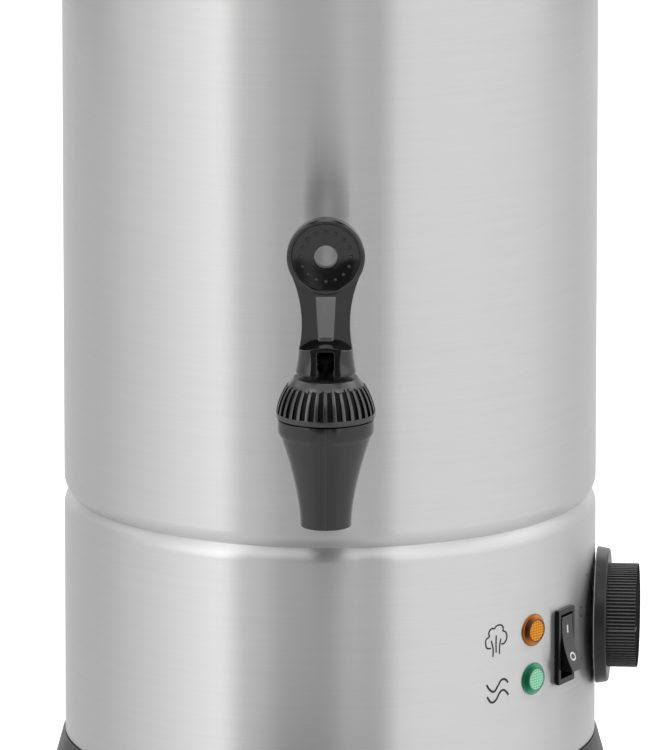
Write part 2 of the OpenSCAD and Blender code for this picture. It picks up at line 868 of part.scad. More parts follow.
module bonnet() {
    dome = [for (i = [0 : rib_steps]) let (z = bonnet_h * i / rib_steps)
        [dome_r(z, bonnet_floor_r), z]];
    rib_low = bonnet_band_h - 0.2;
    rib = [for (i = [0 : rib_steps]) let (z = rib_low + (rib_top - rib_low) * i / rib_steps)
        [rib_r(z), z]];
    rib_turn = 360 / rib_count;
    color([0.09, 0.09, 0.1])
    at_tap()
        difference() {
            union() {
                rotate_extrude()
                    polygon(concat([[0, 0]], dome, [[0, bonnet_h]]));
                cylinder(r = rib_r(rib_low), h = bonnet_band_h);
                for (i = [0 : rib_count - 1]) {
                    rotate([0, 0, (i - rib_share / 2) * rib_turn])
                        rotate_extrude(angle = rib_share * rib_turn)
                        polygon(concat([[bonnet_top_r - 2, rib_low]], rib, [[bonnet_top_r - 2, rib_top]]));
                }
            }
            translate([0, 0, -1]) cylinder(r = tap_neck_r + run_clear, h = tap_neck_h + 1);
            cylinder(r = chamber_r, h = bonnet_ceiling_z);
            cylinder(r = stem_r + run_clear, h = bonnet_h + 1);
        }
}

module stem_seal() {
    color("whitesmoke")
    at_tap()
        translate([0, 0, bonnet_ceiling_z - seal_t])
        difference() {
            cylinder(r = seal_r, h = seal_t);
            translate([0, 0, -1]) cylinder(r = stem_r + run_clear, h = seal_t + 2);
        }
}

// The spring is one round wire swept along a helix
spring_rings = 8;
spring_sides = 6;
spring_steps = spring_turns * spring_rings;
spring_pitch = (spring_high_z - spring_low_z) / spring_turns;
echo(spring_gap = spring_pitch * cos(atan(spring_pitch / (2 * PI * spring_r))) - 2 * spring_wire_r);

module tap_spring() {
    color("silver")
    at_tap()
        swept([for (i = [0 : spring_steps]) let (turn = 360 * i / spring_rings)
            [for (j = [0 : spring_sides - 1]) let (a = 360 * j / spring_sides,
                r = spring_r + spring_wire_r * cos(a))
                [r * cos(turn), r * sin(turn),
                spring_low_z + spring_pitch * i / spring_rings + spring_wire_r * sin(a)]]]);
}

module stem() {
    color([0.09, 0.09, 0.1])
    at_tap()
        difference() {
            union() {
                translate([0, 0, cup_top_z]) cylinder(r = stem_r, h = pin_z - cup_top_z);
                translate([0, 0, cup_top_z - stem_nose_h]) cylinder(r = stem_nose_r, h = stem_nose_h + 1);
                translate([1 - stem_r, 0, pin_z])
                    rotate([0, 90, 0])
                    cylinder(r = stem_r, h = 2 * stem_r - 2);
            }
            translate([-stem_r - 1, 0, pin_z])
                rotate([0, 90, 0])
                cylinder(r = pin_r + run_clear, h = 2 * stem_r + 2);
        }
}

module seat_cup() {
    color("whitesmoke")
    at_tap()
        difference() {
            translate([0, 0, cup_top_z - cup_h])
                rotate_extrude()
                polygon([[0, 0], [cup_r - 0.6, 0], [cup_r, 0.6], [cup_r, 2.4],
                    [stem_r + 2.8, cup_h], [0, cup_h]]);
            translate([0, 0, cup_top_z - stem_nose_h]) cylinder(r = stem_nose_r, h = stem_nose_h + 1);
        }
}

// Lever

// A flat shape drawn in x and z, standing between two depths along y
module standing(from_y, to_y) {
    translate([0, to_y, 0]) rotate([90, 0, 0]) linear_extrude(to_y - from_y) children();
}

// The plate with its waist, from inside the foot up to the head
module lever_plate() {
    difference() {
        standing(0, lever_t)
            polygon([[-tangent_x, foot_rise - 4], [tangent_x, foot_rise - 4],
                [tangent_x, tangent_z], [-tangent_x, tangent_z]]);
        for (side = [-1, 1]) {
            translate([side * (neck_half + neck_arc), 0, neck_rise])
                rotate([-90, 0, 0])
                translate([0, 0, -1])
                cylinder(r = neck_arc, h = lever_t + 2);
        }
    }
}

// The round head with its dish, its hole and a ring of dots
module lever_head() {
    dots_r = (dish_r + head_hole_r + 2) / 2;
    dots_share = (dots_r - head_hole_r) / (dish_r - 0.3 - head_hole_r);
    dish_steps = 6;
    dish_rise = dish_depth / 2;
    dot_root = 0.6;
    translate([0, (lever_t - head_t) / 2, head_rise])
        rotate([-90, 0, 0]) {
            rotate([0, 0, 180 / dot_count])
                rotate_extrude()
                polygon(concat(
                    [for (i = [0 : dish_steps]) let (r = head_hole_r + (dish_r - 0.3 - head_hole_r) * i / dish_steps)
                        [r, dish_depth - dish_rise * pow(i / dish_steps, 2)]],
                    [[dish_r, rim_round], [dish_r + rim_round, 0],
                    [head_r - edge_round, 0], [head_r, edge_round], [head_r, head_t - edge_round],
                    [head_r - edge_round, head_t], [head_hole_r, head_t]]));
            for (i = [0 : dot_count - 1]) {
                rotate([0, 0, i * 360 / dot_count])
                    translate([dots_r, 0, dish_depth - dish_rise * dots_share * dots_share])
                    rotate_extrude()
                    polygon(concat([[0, dot_root], [dot_r, dot_root]], arc([0, 0], dot_r, 0, -75, 4),
                        [[0, -dot_r * sin(75)]]));
            }
        }
}

// The flared foot under an arched top, with a leaning front face
module lever_foot() {
    foot_h = foot_rise - foot_z;
    arch_rise = 2.8;
    vault_r = (pow(foot_top_r, 2) + pow(arch_rise, 2)) / (2 * arch_rise);
    intersection() {
        translate([0, 0, foot_z])
            rotate_extrude()
            polygon(concat([[0, 0], [foot_low_r - 0.6, 0]],
                [for (i = [0 : 6]) let (t = i / 6)
                    [foot_top_r + (foot_low_r - foot_top_r) * pow(1 - t, 2), 0.6 + (foot_h - 0.6) * t]],
                [[0, foot_h]]));
        translate([0, -2 * foot_low_r, foot_rise - vault_r])
            rotate([-90, 0, 0])
            cylinder(r = vault_r, h = 4 * foot_low_r);
        rotate([90, 0, 90])
            translate([0, 0, -foot_low_r])
            linear_extrude(2 * foot_low_r)
            polygon([[-foot_front, foot_z], [foot_low_r, foot_z], [foot_low_r, foot_rise],
                [foot_lean - foot_front, foot_rise]]);
    }
}

module lever() {
    window_z = foot_rise + window_low;
    color([0.09, 0.09, 0.1])
    at_tap()
        difference() {
            union() {
                difference() {
                    lever_plate();
                    translate([0, -1, head_rise])
                        rotate([-90, 0, 0])
                        cylinder(r = head_r - 0.5, h = lever_t + 2);
                }
                lever_head();
                lever_foot();
            }
            // Tapered window in the plate
            standing(-1, lever_t + 1)
                polygon(concat(
                    arc([window_low_half - window_round, window_z + window_round], window_round, -90, 0, 4),
                    [[window_high_half, foot_rise + window_low + window_high],
                    [-window_high_half, foot_rise + window_low + window_high]],
                    arc([window_round - window_low_half, window_z + window_round], window_round, 180, 270, 4)));
            // Slot for the stem, open to the front and below
            standing(-2 * foot_low_r, stem_r + 0.8)
                polygon(concat(
                    [[slot_half, foot_z - 1]],
                    arc([slot_half - slot_round, slot_top_z - slot_round], slot_round, 0, 90, 4),
                    arc([slot_round - slot_half, slot_top_z - slot_round], slot_round, 90, 180, 4),
                    [[-slot_half, foot_z - 1]]));
            translate([-2 * foot_low_r, 0, pin_z])
                rotate([0, 90, 0])
                cylinder(r = pin_r, h = 4 * foot_low_r);
        }
}

module lever_pin() {
    pin_half = foot_top_r - 0.8;
    color("silver")
    at_tap()
        translate([-pin_half, 0, pin_z])
        rotate([0, 90, 0])
        cylinder(r = pin_r, h = 2 * pin_half);
}

// Panel

module switch_housing() {
    pivot_z = bezel_t - pivot_depth;
    color([0.08, 0.08, 0.08])
    on_wall(switch_angle, switch_z)
        difference() {
            union() {
                translate([0, 0, 0.02])
                    linear_extrude(bezel_t - 0.02) polygon(round_box(bezel_w, bezel_h, 1));
                translate([0, 0, -housing_depth])
                    block(housing_w, housing_h, housing_depth + 0.5);
            }
            translate([0, 0, -10])
                block(opening_w, opening_h, 10 + bezel_t + 1);
            translate([-housing_w / 2 - 1, 0, pivot_z])
                rotate([0, 90, 0])
                cylinder(r = pivot_r + run_clear, h = housing_w + 2);
        }
}

// The rocker with its upper half pressed in
module rocker() {
    color([0.06, 0.06, 0.06])
    on_wall(switch_angle, switch_z)
        translate([0, 0, bezel_t - pivot_depth])
        rotate([-rocker_tilt, 0, 0]) {
            rotate([90, 0, 90])
                translate([0, 0, -rocker_w / 2])
                linear_extrude(rocker_w)
                polygon(concat(
                    [for (i = [8 : -1 : -8]) let (t = i / 8)
                        [rocker_half * t, pivot_depth + rocker_valley + (rocker_rise - rocker_valley) * t * t]],
                    [[-rocker_half + 1.4, 0], [-6, -2.6], [6, -2.6], [rocker_half - 1.4, 0]]));
            translate([-housing_w / 2 + 0.1, 0, 0])
                rotate([0, 90, 0])
                cylinder(r = pivot_r, h = housing_w - 0.2);
        }
}

module switch_terminals() {
    color("goldenrod")
    on_wall(switch_angle, switch_z)
        for (i = [-1 : 1]) {
            translate([0, i * 9, -housing_depth - blade_len]) block(blade_t, blade_w, blade_len);
        }
}

// A lens cap with a flange and a raised middle
module lens_cap(side) {
    on_wall(lamp_angle, lamp_z + side * lamp_pitch / 2)
        rotate_extrude()
        polygon(concat([[0, 0.02], [lamp_flange_r, 0.02]],
            arc([lamp_flange_r - lens_round, lens_flange_h - lens_round], lens_round, 0, 90, 4),
            [[lens_r + 0.2, lens_flange_h + 0.3]],
            arc([lens_r - lens_round, lens_h - lens_round], lens_round, 0, 90, 4),
            [[0, lens_h + 0.2]]));
}

module lamp_case(side) {
    on_wall(lamp_angle, lamp_z + side * lamp_pitch / 2) {
        translate([0, 0, -lamp_depth]) cylinder(r = lamp_body_r, h = lamp_depth + 0.02);
        for (end = [-1, 1]) {
            translate([end * 3, 0, -lamp_depth - blade_len / 2]) block(blade_t, 2.8, blade_len / 2 + 1);
        }
    }
}

module amber_lens() {
    color("orange") lens_cap(1);
}

module amber_lamp() {
    color("dimgray") lamp_case(1);
}

module green_lens() {
    color("limegreen") lens_cap(-1);
}

module green_lamp() {
    color("dimgray") lamp_case(-1);
}

// Push-on nuts that hold the lamps behind the casing
module lamp_nuts() {
    sag = casing_in_r - sqrt(pow(casing_in_r, 2) - pow(lamp_flange_r, 2));
    color("lightgray")
    for (side = [-1, 1]) {
        on_wall(lamp_angle, lamp_z + side * lamp_pitch / 2)
            translate([0, 0, -sheet - sag - lamp_nut_t])
            difference() {
                cylinder(r = lamp_flange_r, h = lamp_nut_t);
                translate([0, 0, -1]) cylinder(r = lamp_body_r, h = lamp_nut_t + 2);
            }
    }
}

// Handles

module handle(side) {
    color([0.08, 0.08, 0.09])
    difference() {
        union() {
            on_wall(side * 90, handle_z)
                rotate([90, 0, 0])
                rotate_extrude()
                translate([arch_r, 0])
                polygon(round_box(grip_t, grip_h, 5));
            for (end = [-1, 1]) {
                on_wall(side * 90 + end * boss_turn, handle_z)
                    translate([0, 0, -2])
                    cylinder(r = handle_boss_r, h = handle_boss_h + 2);
            }
        }
        translate([0, 0, handle_z - grip_h]) cylinder(r = casing_r, h = 2 * grip_h, $fn = wall_sides);
        for (end = [-1, 1]) {
            on_wall(side * 90 + end * boss_turn, handle_z)
                translate([0, 0, -2])
                cylinder(r = handle_screw_r, h = 12);
        }
    }
}

module handle_right() {
    handle(1);
}

module handle_left() {
    handle(-1);
}

module handle_screws() {
    color("lightgray")
    for (side = [-1, 1]) {
        for (end = [-1, 1]) {
            on_wall(side * 90 + end * boss_turn, handle_z) {
                translate([0, 0, -sheet - screw_head_h - 0.1]) cylinder(r = screw_head_r, h = screw_head_h);
                translate([0, 0, -sheet - 1]) cylinder(r = handle_screw_r, h = 9 + sheet);
            }
        }
    }
}

// Lid

flat_r = lid_knob_r - 2;

// Height of the lid's dome above the rim at a radius
function dome_z(r) = rim_z + sheet + dome_h
    * (1 - pow(max(0, r - flat_r) / (lid_dome_r - flat_r), 2));

dome_line = [for (i = [0 : curve_steps]) let (r = flat_r + (lid_dome_r - flat_r) * i / curve_steps)
    [r, dome_z(r)]];

module lid() {
    color("silver")
    difference() {
        rotate_extrude()
            polygon(concat([[0, lid_top_z]], dome_line,
                [[lid_r, rim_z + sheet], [lid_r, rim_z], [lid_skirt_r, rim_z],
                [lid_skirt_r, rim_z - lid_skirt_h], [lid_dome_r, rim_z - lid_skirt_h]],
                [for (p = reversed(dome_line)) p - [0, sheet]],
                [[0, lid_top_z - sheet]]));
        translate([0, 0, lid_top_z - 2 * sheet]) cylinder(r = lid_screw_r + hole_clear, h = 3 * sheet);
        translate([0, lid_dome_r * 0.7, rim_z]) cylinder(r = vent_r, h = dome_h + 2);
    }
}

module lid_knob() {
    color([0.08, 0.08, 0.09])
    translate([0, 0, lid_top_z])
        difference() {
            rotate_extrude()
                polygon(concat([[0, 0], [flat_r - 1, 0]],
                    arc([flat_r - 1, 9.5], 8, -90, -180, 6),
                    arc([lid_knob_r - 3, lid_knob_h - 9], 3, -60, 0, 4),
                    [for (i = [1 : 6]) let (t = i / 6)
                        [lid_knob_r * cos(90 * t), lid_knob_h - 9 + 9 * sin(90 * t)]]));
            translate([0, 0, -1]) cylinder(r = lid_screw_r, h = 17);
        }
}

module lid_knob_screw() {
    color("lightgray")
    translate([0, 0, lid_top_z - sheet]) {
        translate([0, 0, -screw_head_h]) cylinder(r = screw_head_r + 1, h = screw_head_h);
        cylinder(r = lid_screw_r, h = 14);
    }
}

// Cord inlet

module cable_gland() {
    color([0.1, 0.1, 0.1])
    on_wall(180, gland_z)
        difference() {
            union() {
                translate([0, 0, -14]) cylinder(r = gland_r, h = 16);
                translate([0, 0, 0.02]) hexagon(gland_af, 5);
                translate([0, 0, 4])
                    rotate_extrude()
                    polygon(concat([[0, 0], [gland_af / 2 - 1, 0], [gland_af / 2 - 1, 7]],
                        arc([gland_af / 2 - 5, 7], 4, 0, 80, 5), [[0, 11]]));
            }
            translate([0, 0, -15]) cylinder(r = gland_passage_r, h = 15 + gland_step_z);
            cylinder(r = gland_bore_r, h = 16);
        }
}

module gland_nut() {
    sag = casing_in_r - sqrt(pow(casing_in_r, 2) - pow(gland_af / 2, 2));
    color([0.1, 0.1, 0.1])
    on_wall(180, gland_z)
        translate([0, 0, -sheet - sag - 5])
        difference() {
            hexagon(gland_af, 5);
            translate([0, 0, -1]) cylinder(r = gland_r, h = 7);
        }
}

casing();
tank();
base_ring();
base_plate();
feet();
foot_screws();
tie_rod();
tie_nut();
heater_plate();
heating_element();
boil_dry_cutout();
sensor_bulb();
capillary_tube();
thermostat_body();
thermostat_screws();
thermostat_shaft();
thermostat_knob();
terminal_block();
tap_body();
tap_washer_outer();
wall_spacer();
tap_washer_inner();
tap_nut();
bonnet();
stem_seal();
tap_spring();
stem();
seat_cup();
lever();
lever_pin();
switch_housing();
rocker();
switch_terminals();
amber_lens();
amber_lamp();
green_lens();
green_lamp();
lamp_nuts();
handle_right();
handle_left();
handle_screws();
lid();
lid_knob();
lid_knob_screw();
cable_gland();
gland_nut();
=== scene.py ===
"""Looks of the mulled wine urn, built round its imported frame.
Metres, +Z up. The tap faces -Y, and the control panel lies towards +X."""

import math

import bmesh
import bpy
from mathutils import Matrix, Vector


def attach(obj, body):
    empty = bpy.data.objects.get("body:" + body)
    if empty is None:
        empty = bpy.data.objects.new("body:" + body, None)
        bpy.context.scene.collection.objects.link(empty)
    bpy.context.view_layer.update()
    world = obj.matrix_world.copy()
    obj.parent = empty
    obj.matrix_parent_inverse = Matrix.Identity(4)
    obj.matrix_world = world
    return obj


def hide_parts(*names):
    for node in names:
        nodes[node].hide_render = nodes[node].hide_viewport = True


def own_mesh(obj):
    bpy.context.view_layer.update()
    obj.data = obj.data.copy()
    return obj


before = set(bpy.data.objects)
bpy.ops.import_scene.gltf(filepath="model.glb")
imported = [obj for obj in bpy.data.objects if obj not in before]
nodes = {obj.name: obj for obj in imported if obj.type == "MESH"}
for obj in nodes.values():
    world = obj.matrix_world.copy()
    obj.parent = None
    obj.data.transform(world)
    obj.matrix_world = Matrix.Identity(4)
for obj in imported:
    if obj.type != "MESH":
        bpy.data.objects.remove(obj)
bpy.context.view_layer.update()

# Sizes and places that the looks share with the part's source, with angles in degrees from the tap towards +X
MM = 0.001
CASING_R = 0.120
TAP_Y = 0.162
TAP_Z = 0.214
KNOB_TURN = 86.4
KNOB_Z = 0.0860
SWITCH_TURN = 60.9
SWITCH_Z = 0.0848
LAMP_TURN = 49.7
AMBER_Z = 0.0965
GREEN_Z = 0.0741


# Operators

def only(obj):
    """Selects one object and makes it the active one."""
    bpy.ops.object.select_all(action="DESELECT")
    obj.select_set(True)
    bpy.context.view_layer.objects.active = obj


def named(name):
    """Names the object that an operator has just added, and its mesh."""
    obj = bpy.context.object
    obj.name = obj.data.name = name
    return obj


def settle(obj):
    """Puts the object's place into its mesh."""
    only(obj)
    bpy.ops.object.transform_apply(location=True, rotation=True, scale=True)
    return obj


def close_seams(obj):
    """Merges doubles and turns the faces outwards."""
    only(obj)
    bpy.ops.object.mode_set(mode="EDIT")
    bpy.ops.mesh.select_all(action="SELECT")
    bpy.ops.mesh.remove_doubles(threshold=1e-6)
    bpy.ops.mesh.normals_make_consistent(inside=False)
    bpy.ops.object.mode_set(mode="OBJECT")
    return obj


def turned(name, profile, sides):
    """A turned blank: a disc extruded and resized from one (radius, height) to the next."""
    bpy.ops.object.select_all(action="DESELECT")
    radius, height = profile[0]
    bpy.ops.mesh.primitive_circle_add(vertices=sides, radius=radius, fill_type="NGON",
                                      location=(0, 0, height))
    obj = settle(named(name))
    bpy.ops.object.mode_set(mode="EDIT")
    bpy.ops.mesh.select_mode(type="FACE")
    bpy.ops.mesh.select_all(action="SELECT")
    for next_radius, next_height in profile[1:]:
        bpy.ops.mesh.extrude_region_move(TRANSFORM_OT_translate={"value": (0, 0, next_height - height)})
        share = next_radius / radius
        bpy.ops.transform.resize(value=(share, share, 1), center_override=(0, 0, next_height))
        radius, height = next_radius, next_height
    bpy.ops.object.mode_set(mode="OBJECT")
    return close_seams(obj)


def joined(objs, name):
    """Joins objects into one piece."""
    only(objs[0])
    for obj in objs[1:]:
        obj.select_set(True)
    bpy.ops.object.join()
    return named(name)


def apply_modifiers(obj):
    """Applies the object's modifiers, in their order."""
    only(obj)
    for modifier in list(obj.modifiers):
        bpy.ops.object.modifier_apply(modifier=modifier.name)
    return obj


def smooth(obj, degrees=35):
    """Shades the object smooth, apart from edges that turn by more than the angle."""
    only(obj)
    bpy.ops.object.shade_smooth_by_angle(angle=math.radians(degrees))
    return obj


def wall_place(turn, height):
    """The frame on the casing at an angle from the tap towards +X: x to the right, y up, z outwards."""
    a = math.radians(turn)
    right = Vector((math.cos(a), math.sin(a), 0))
    out = Vector((math.sin(a), -math.cos(a), 0))
    place = Matrix((right, (0, 0, 1), out)).transposed().to_4x4()
    place.translation = out * CASING_R + Vector((0, 0, height))
    return place


def put(obj, place):
    """Moves a mesh to its place."""
    obj.data.transform(place)
    obj.data.update()
    return obj


def drawn(name, points, radius, closed=False, kind="BEZIER"):
    """A round wire through points, with round bends unless it is drawn as POLY."""
    line = bpy.data.curves.new(name, "CURVE")
    line.dimensions = "3D"
    line.resolution_u = 8
    line.bevel_depth = radius
    line.bevel_resolution = 2
    line.use_fill_caps = True
    spline = line.splines.new(kind)
    knots = spline.bezier_points if kind == "BEZIER" else spline.points
    knots.add(len(points) - 1)
    for knot, point in zip(knots, points):
        if kind == "BEZIER":
            knot.co = point
            knot.handle_left_type = knot.handle_right_type = "AUTO"
        else:
            knot.co = tuple(point) + (1,)
    spline.use_cyclic_u = closed
    obj = bpy.data.objects.new(name, line)
    bpy.context.scene.collection.objects.link(obj)
    only(obj)
    bpy.ops.object.convert(target="MESH")
    return smooth(close_seams(named(name)))


def twin(node, body):
    """A merged copy of a CAD node that stands for it."""
    obj = bpy.data.objects.new(node + "_form", nodes[node].data.copy())
    obj.data.name = obj.name
    bpy.context.scene.collection.objects.link(obj)
    put(obj, nodes[node].matrix_world)
    only(obj)
    bpy.ops.mesh.customdata_custom_splitnormals_clear()
    bpy.ops.object.mode_set(mode="EDIT")
    bpy.ops.mesh.select_all(action="SELECT")
    bpy.ops.mesh.remove_doubles(threshold=2e-6)
    bpy.ops.mesh.dissolve_limited(angle_limit=math.radians(0.25))
    bpy.ops.mesh.normals_make_consistent(inside=False)
    bpy.ops.object.mode_set(mode="OBJECT")
    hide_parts(node)
    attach(obj, body)
    return obj


def softened(node, body, width, share=None):
    """A copy of a CAD node whose sharp outer edges are rounded by a width in millimetres.
    Where share is given, share(middle) says how much of the width an edge gets."""
    obj = twin(node, body)
    form = bmesh.new()
    form.from_mesh(obj.data)
    weight = form.edges.layers.float.new("bevel_weight_edge")
    for edge in form.edges:
        if len(edge.link_faces) == 2 and edge.is_convex and edge.calc_face_angle(0) > math.radians(30):
            middle = (edge.verts[0].co + edge.verts[1].co) / 2
            edge[weight] = 1.0 if share is None else float(share(middle))
    form.to_mesh(obj.data)
    form.free()
    bevel = obj.modifiers.new("edges", "BEVEL")
    bevel.width = width * MM
    bevel.segments = 2
    bevel.limit_method = "WEIGHT"
    bevel.use_clamp_overlap = False
    smooth(apply_modifiers(obj), 38)
    even = obj.modifiers.new("flats", "WEIGHTED_NORMAL")
    even.keep_sharp = True
    return apply_modifiers(obj)


# Shader groups

def new_group(name, inputs, outputs):
    """An empty shader group with named sockets, and its input and output nodes."""
    tree = bpy.data.node_groups.new(name, "ShaderNodeTree")
    for way, sockets in (("INPUT", inputs), ("OUTPUT", outputs)):
        for label, kind, value in sockets:
            socket = tree.interface.new_socket(label, in_out=way, socket_type="NodeSocket" + kind)
            if value is not None:
                socket.default_value = value
    return tree, tree.nodes.new("NodeGroupInput"), tree.nodes.new("NodeGroupOutput")


def feed(tree, socket, value):
    """Links an input to the output that is given, or sets it to a value."""
    if isinstance(value, bpy.types.NodeSocket):
        tree.links.new(value, socket)
    else:
        socket.default_value = value


def add(tree, kind, inputs=None, **settings):
    """Adds a node, sets its fields, and fills its inputs with values or links."""
    node = tree.nodes.new("ShaderNode" + kind)
    for field, value in settings.items():
        setattr(node, field, value)
    for key, value in (inputs or {}).items():
        feed(tree, node.inputs[key], value)
    return node


def sums(tree, operation, *values):
    """A Math node's result."""
    return add(tree, "Math", dict(enumerate(values)), operation=operation).outputs[0]


def spread(tree, value, low, high, to_low=0.0, to_high=1.0):
    """Maps a value from one range to another, smoothly and held at the ends."""
    return add(tree, "MapRange", {"Value": value, "From Min": low, "From Max": high,
                                  "To Min": to_low, "To Max": to_high},
               interpolation_type="SMOOTHSTEP").outputs["Result"]


def ramp(tree, value, stops):
    """A value read off a line through (place, height) stops."""
    low, high = stops[0][0], stops[-1][0]
    top = max(height for place, height in stops)
    along = add(tree, "MapRange", {"Value": value, "From Min": low, "From Max": high}).outputs[0]
    node = add(tree, "ValToRGB", {0: along})
    marks = node.color_ramp.elements
    for index, (place, height) in enumerate(stops):
        share = (place - low) / (high - low)
        mark = marks[index] if index < 2 else marks.new(share)
        mark.position = share
    for mark, (place, height) in zip(marks, stops):
        mark.color = (height / top,) * 3 + (1,)
    return sums(tree, "MULTIPLY", node.outputs[0], top)


def noise(tree, place, scale, detail=2.0, rough=0.5):
    """A noise texture's value."""
    return add(tree, "TexNoise", {"Vector": place, "Scale": scale, "Detail": detail,
                                  "Roughness": rough}).outputs["Fac"]


def blend_values(tree, share, first, second):
    """The sum of two values, with a share of the first and the rest of the second."""
    return sums(tree, "ADD", sums(tree, "MULTIPLY", first, share), sums(tree, "MULTIPLY", second, 1 - share))


def blend_colours(tree, share, first, second):
    """A colour between two, by the share of the second.
    A Mix node takes colours on inputs 6 and 7, and puts one out on output 2."""
    return add(tree, "Mix", {0: share, 6: first, 7: second}, data_type="RGBA").outputs[2]


def brushing_group():
    """Brushed lines round the upright axis: how light, how high and how rough the metal is at a place."""
    tree, given, made = new_group(
        "brushing",
        [("Place", "Vector", None), ("Stroke", "Float", 14.0), ("Fineness", "Float", 1600.0)],
        [("Shade", "Float", None), ("Height", "Float", None), ("Scuff", "Float", None)])
    band_length = 0.35
    band_width = 0.22
    band_layer = 4.0
    place = given.outputs["Place"]
    x, y, z = add(tree, "SeparateXYZ", {0: place}).outputs
    turn = sums(tree, "ARCTAN2", x, sums(tree, "MULTIPLY", y, -1.0))
    reach = add(tree, "VectorMath", {0: place}, operation="LENGTH").outputs["Value"]
    along = sums(tree, "MULTIPLY", turn, given.outputs["Stroke"])
    across = sums(tree, "MULTIPLY", z, given.outputs["Fineness"])
    fine = add(tree, "CombineXYZ", {0: along, 1: across, 2: sums(tree, "MULTIPLY", reach, 3.0)}).outputs[0]
    wide = add(tree, "CombineXYZ", {0: sums(tree, "MULTIPLY", along, band_length),
                                    1: sums(tree, "MULTIPLY", across, band_width), 2: band_layer}).outputs[0]
    hair = noise(tree, fine, scale=1.0, detail=2.0, rough=0.6)
    band = noise(tree, wide, scale=1.0, detail=3.0, rough=0.6)
    scuff = noise(tree, place, scale=9.0, detail=4.0, rough=0.55)
    feed(tree, made.inputs["Shade"], blend_values(tree, 0.55, hair, band))
    feed(tree, made.inputs["Height"], hair)
    feed(tree, made.inputs["Scuff"], scuff)
    return tree


def moulding_group():
    """The skin of a moulded piece: fine orange peel, a slow mottle in its gloss, and specks of dust."""
    tree, given, made = new_group(
        "moulding", [("Place", "Vector", None), ("Peel", "Float", 900.0), ("Grain", "Float", 5000.0)],
        [("Height", "Float", None), ("Mottle", "Float", None), ("Dust", "Float", None)])
    place = given.outputs["Place"]
    peel = noise(tree, place, given.outputs["Peel"], detail=1.0)
    grain = noise(tree, place, given.outputs["Grain"], detail=2.0, rough=0.7)
    mottle = noise(tree, place, scale=38.0, detail=3.0, rough=0.6)
    specks = noise(tree, place, scale=1500.0, detail=0.0)
    feed(tree, made.inputs["Height"], blend_values(tree, 0.6, peel, grain))
    feed(tree, made.inputs["Mottle"], mottle)
    feed(tree, made.inputs["Dust"], spread(tree, specks, 0.70, 0.78))
    return tree


BRUSHING = brushing_group()
MOULDING = moulding_group()


# Materials

def principled(material):
    """The material's own shader."""
    return next(n for n in material.node_tree.nodes if n.type == "BSDF_PRINCIPLED")


def new_material(name, **fixed):
    """A material with a Principled shader. Values that hold all over are set on its sockets."""
    material = bpy.data.materials.new(name)
    material.use_nodes = True
    tree = material.node_tree
    shader = principled(material)
    for key, value in fixed.items():
        shader.inputs[key.replace("_", " ")].default_value = value
    place = add(tree, "TexCoord").outputs["Object"]
    return material, tree, shader, place


def bare_material(name):
    """A material with no nodes yet, for the stage."""
    material = bpy.data.materials.new(name)
    material.use_nodes = True
    material.node_tree.nodes.clear()
    return material, material.node_tree


def place_group(tree, group, **inputs):
    """Places a shader group in a material and gives its outputs."""
    return add(tree, "Group", inputs, node_tree=group).outputs


def raise_bump(tree, shader, height, distance):
    """Raises a fine relief on the shader's surface."""
    bump = add(tree, "Bump", {"Height": height, "Distance": distance, "Strength": 1.0})
    feed(tree, shader.inputs["Normal"], bump.outputs[0])


QUARTER_TURN = 0.25
BRUSHED = (0.32, 0.68)
SCUFFED = (0.35, 0.7)
MOTTLED = (0.3, 0.7)
DUST_SHARE = 0.25


def steel(name, dark, light, rough, anisotropy, stroke, fineness, bump, metal=1.0):
    """Brushed metal. Its gloss is drawn out across the brushing."""
    material, tree, shader, place = new_material(name, Metallic=metal, Anisotropic=anisotropy,
                                                 Anisotropic_Rotation=QUARTER_TURN)
    lines = place_group(tree, BRUSHING, Place=place, Stroke=stroke, Fineness=fineness)
    colour = blend_colours(tree, spread(tree, lines["Shade"], *BRUSHED), dark, light)
    feed(tree, shader.inputs["Base Color"], colour)
    feed(tree, shader.inputs["Roughness"], spread(tree, lines["Scuff"], *SCUFFED, *rough))
    around = add(tree, "Tangent", direction_type="RADIAL", axis="Z")
    feed(tree, shader.inputs["Tangent"], around.outputs[0])
    raise_bump(tree, shader, lines["Height"], bump)
    return material


def moulded(name, dark, light, rough, peel, grain, bump, **fixed):
    """Moulded plastic or rubber with a skin of its own, and a little dust that is lighter than it."""
    material, tree, shader, place = new_material(name, **fixed)
    skin = place_group(tree, MOULDING, Place=place, Peel=peel, Grain=grain)
    colour = blend_colours(tree, spread(tree, skin["Mottle"], *MOTTLED), dark, light)
    dust = tuple(min(1.0, c * 1.6 + 0.02) for c in light[:3]) + (1,)
    dusty = blend_colours(tree, sums(tree, "MULTIPLY", skin["Dust"], DUST_SHARE), colour, dust)
    feed(tree, shader.inputs["Base Color"], dusty)
    feed(tree, shader.inputs["Roughness"], spread(tree, skin["Mottle"], *MOTTLED, *rough))
    raise_bump(tree, shader, skin["Height"], bump)
    return material


GLASS_FACING = (0.10, 0.24, 0.40, 0.85)
GLASS_DEPTH = 0.95


def glass(name, shades):
    """Coloured clear plastic, painted with a shade for each step from looking into it to looking along it:
    painted shade where looked into, a paler painted sheen where looked along.
    """
    colours = [shade + (1,) for shade in shades]
    material = moulded(name, colours[0], colours[1], rough=(0.07, 0.13), peel=900.0, grain=5000.0, bump=2e-6,
                       IOR=1.49, Specular_IOR_Level=0.2)
    tree = material.node_tree
    facing = add(tree, "LayerWeight", {"Blend": 0.5}).outputs["Facing"]
    deep = add(tree, "ValToRGB", {0: facing})
    stops = deep.color_ramp.elements
    for place, colour in zip(GLASS_FACING, colours):
        stops.new(place).color = colour
    stops.remove(stops[0])
    stops.remove(stops[-1])
    base = principled(material).inputs["Base Color"]
    skin = base.links[0].from_socket
    feed(tree, base, blend_colours(tree, GLASS_DEPTH, skin, deep.outputs[0]))
    return material


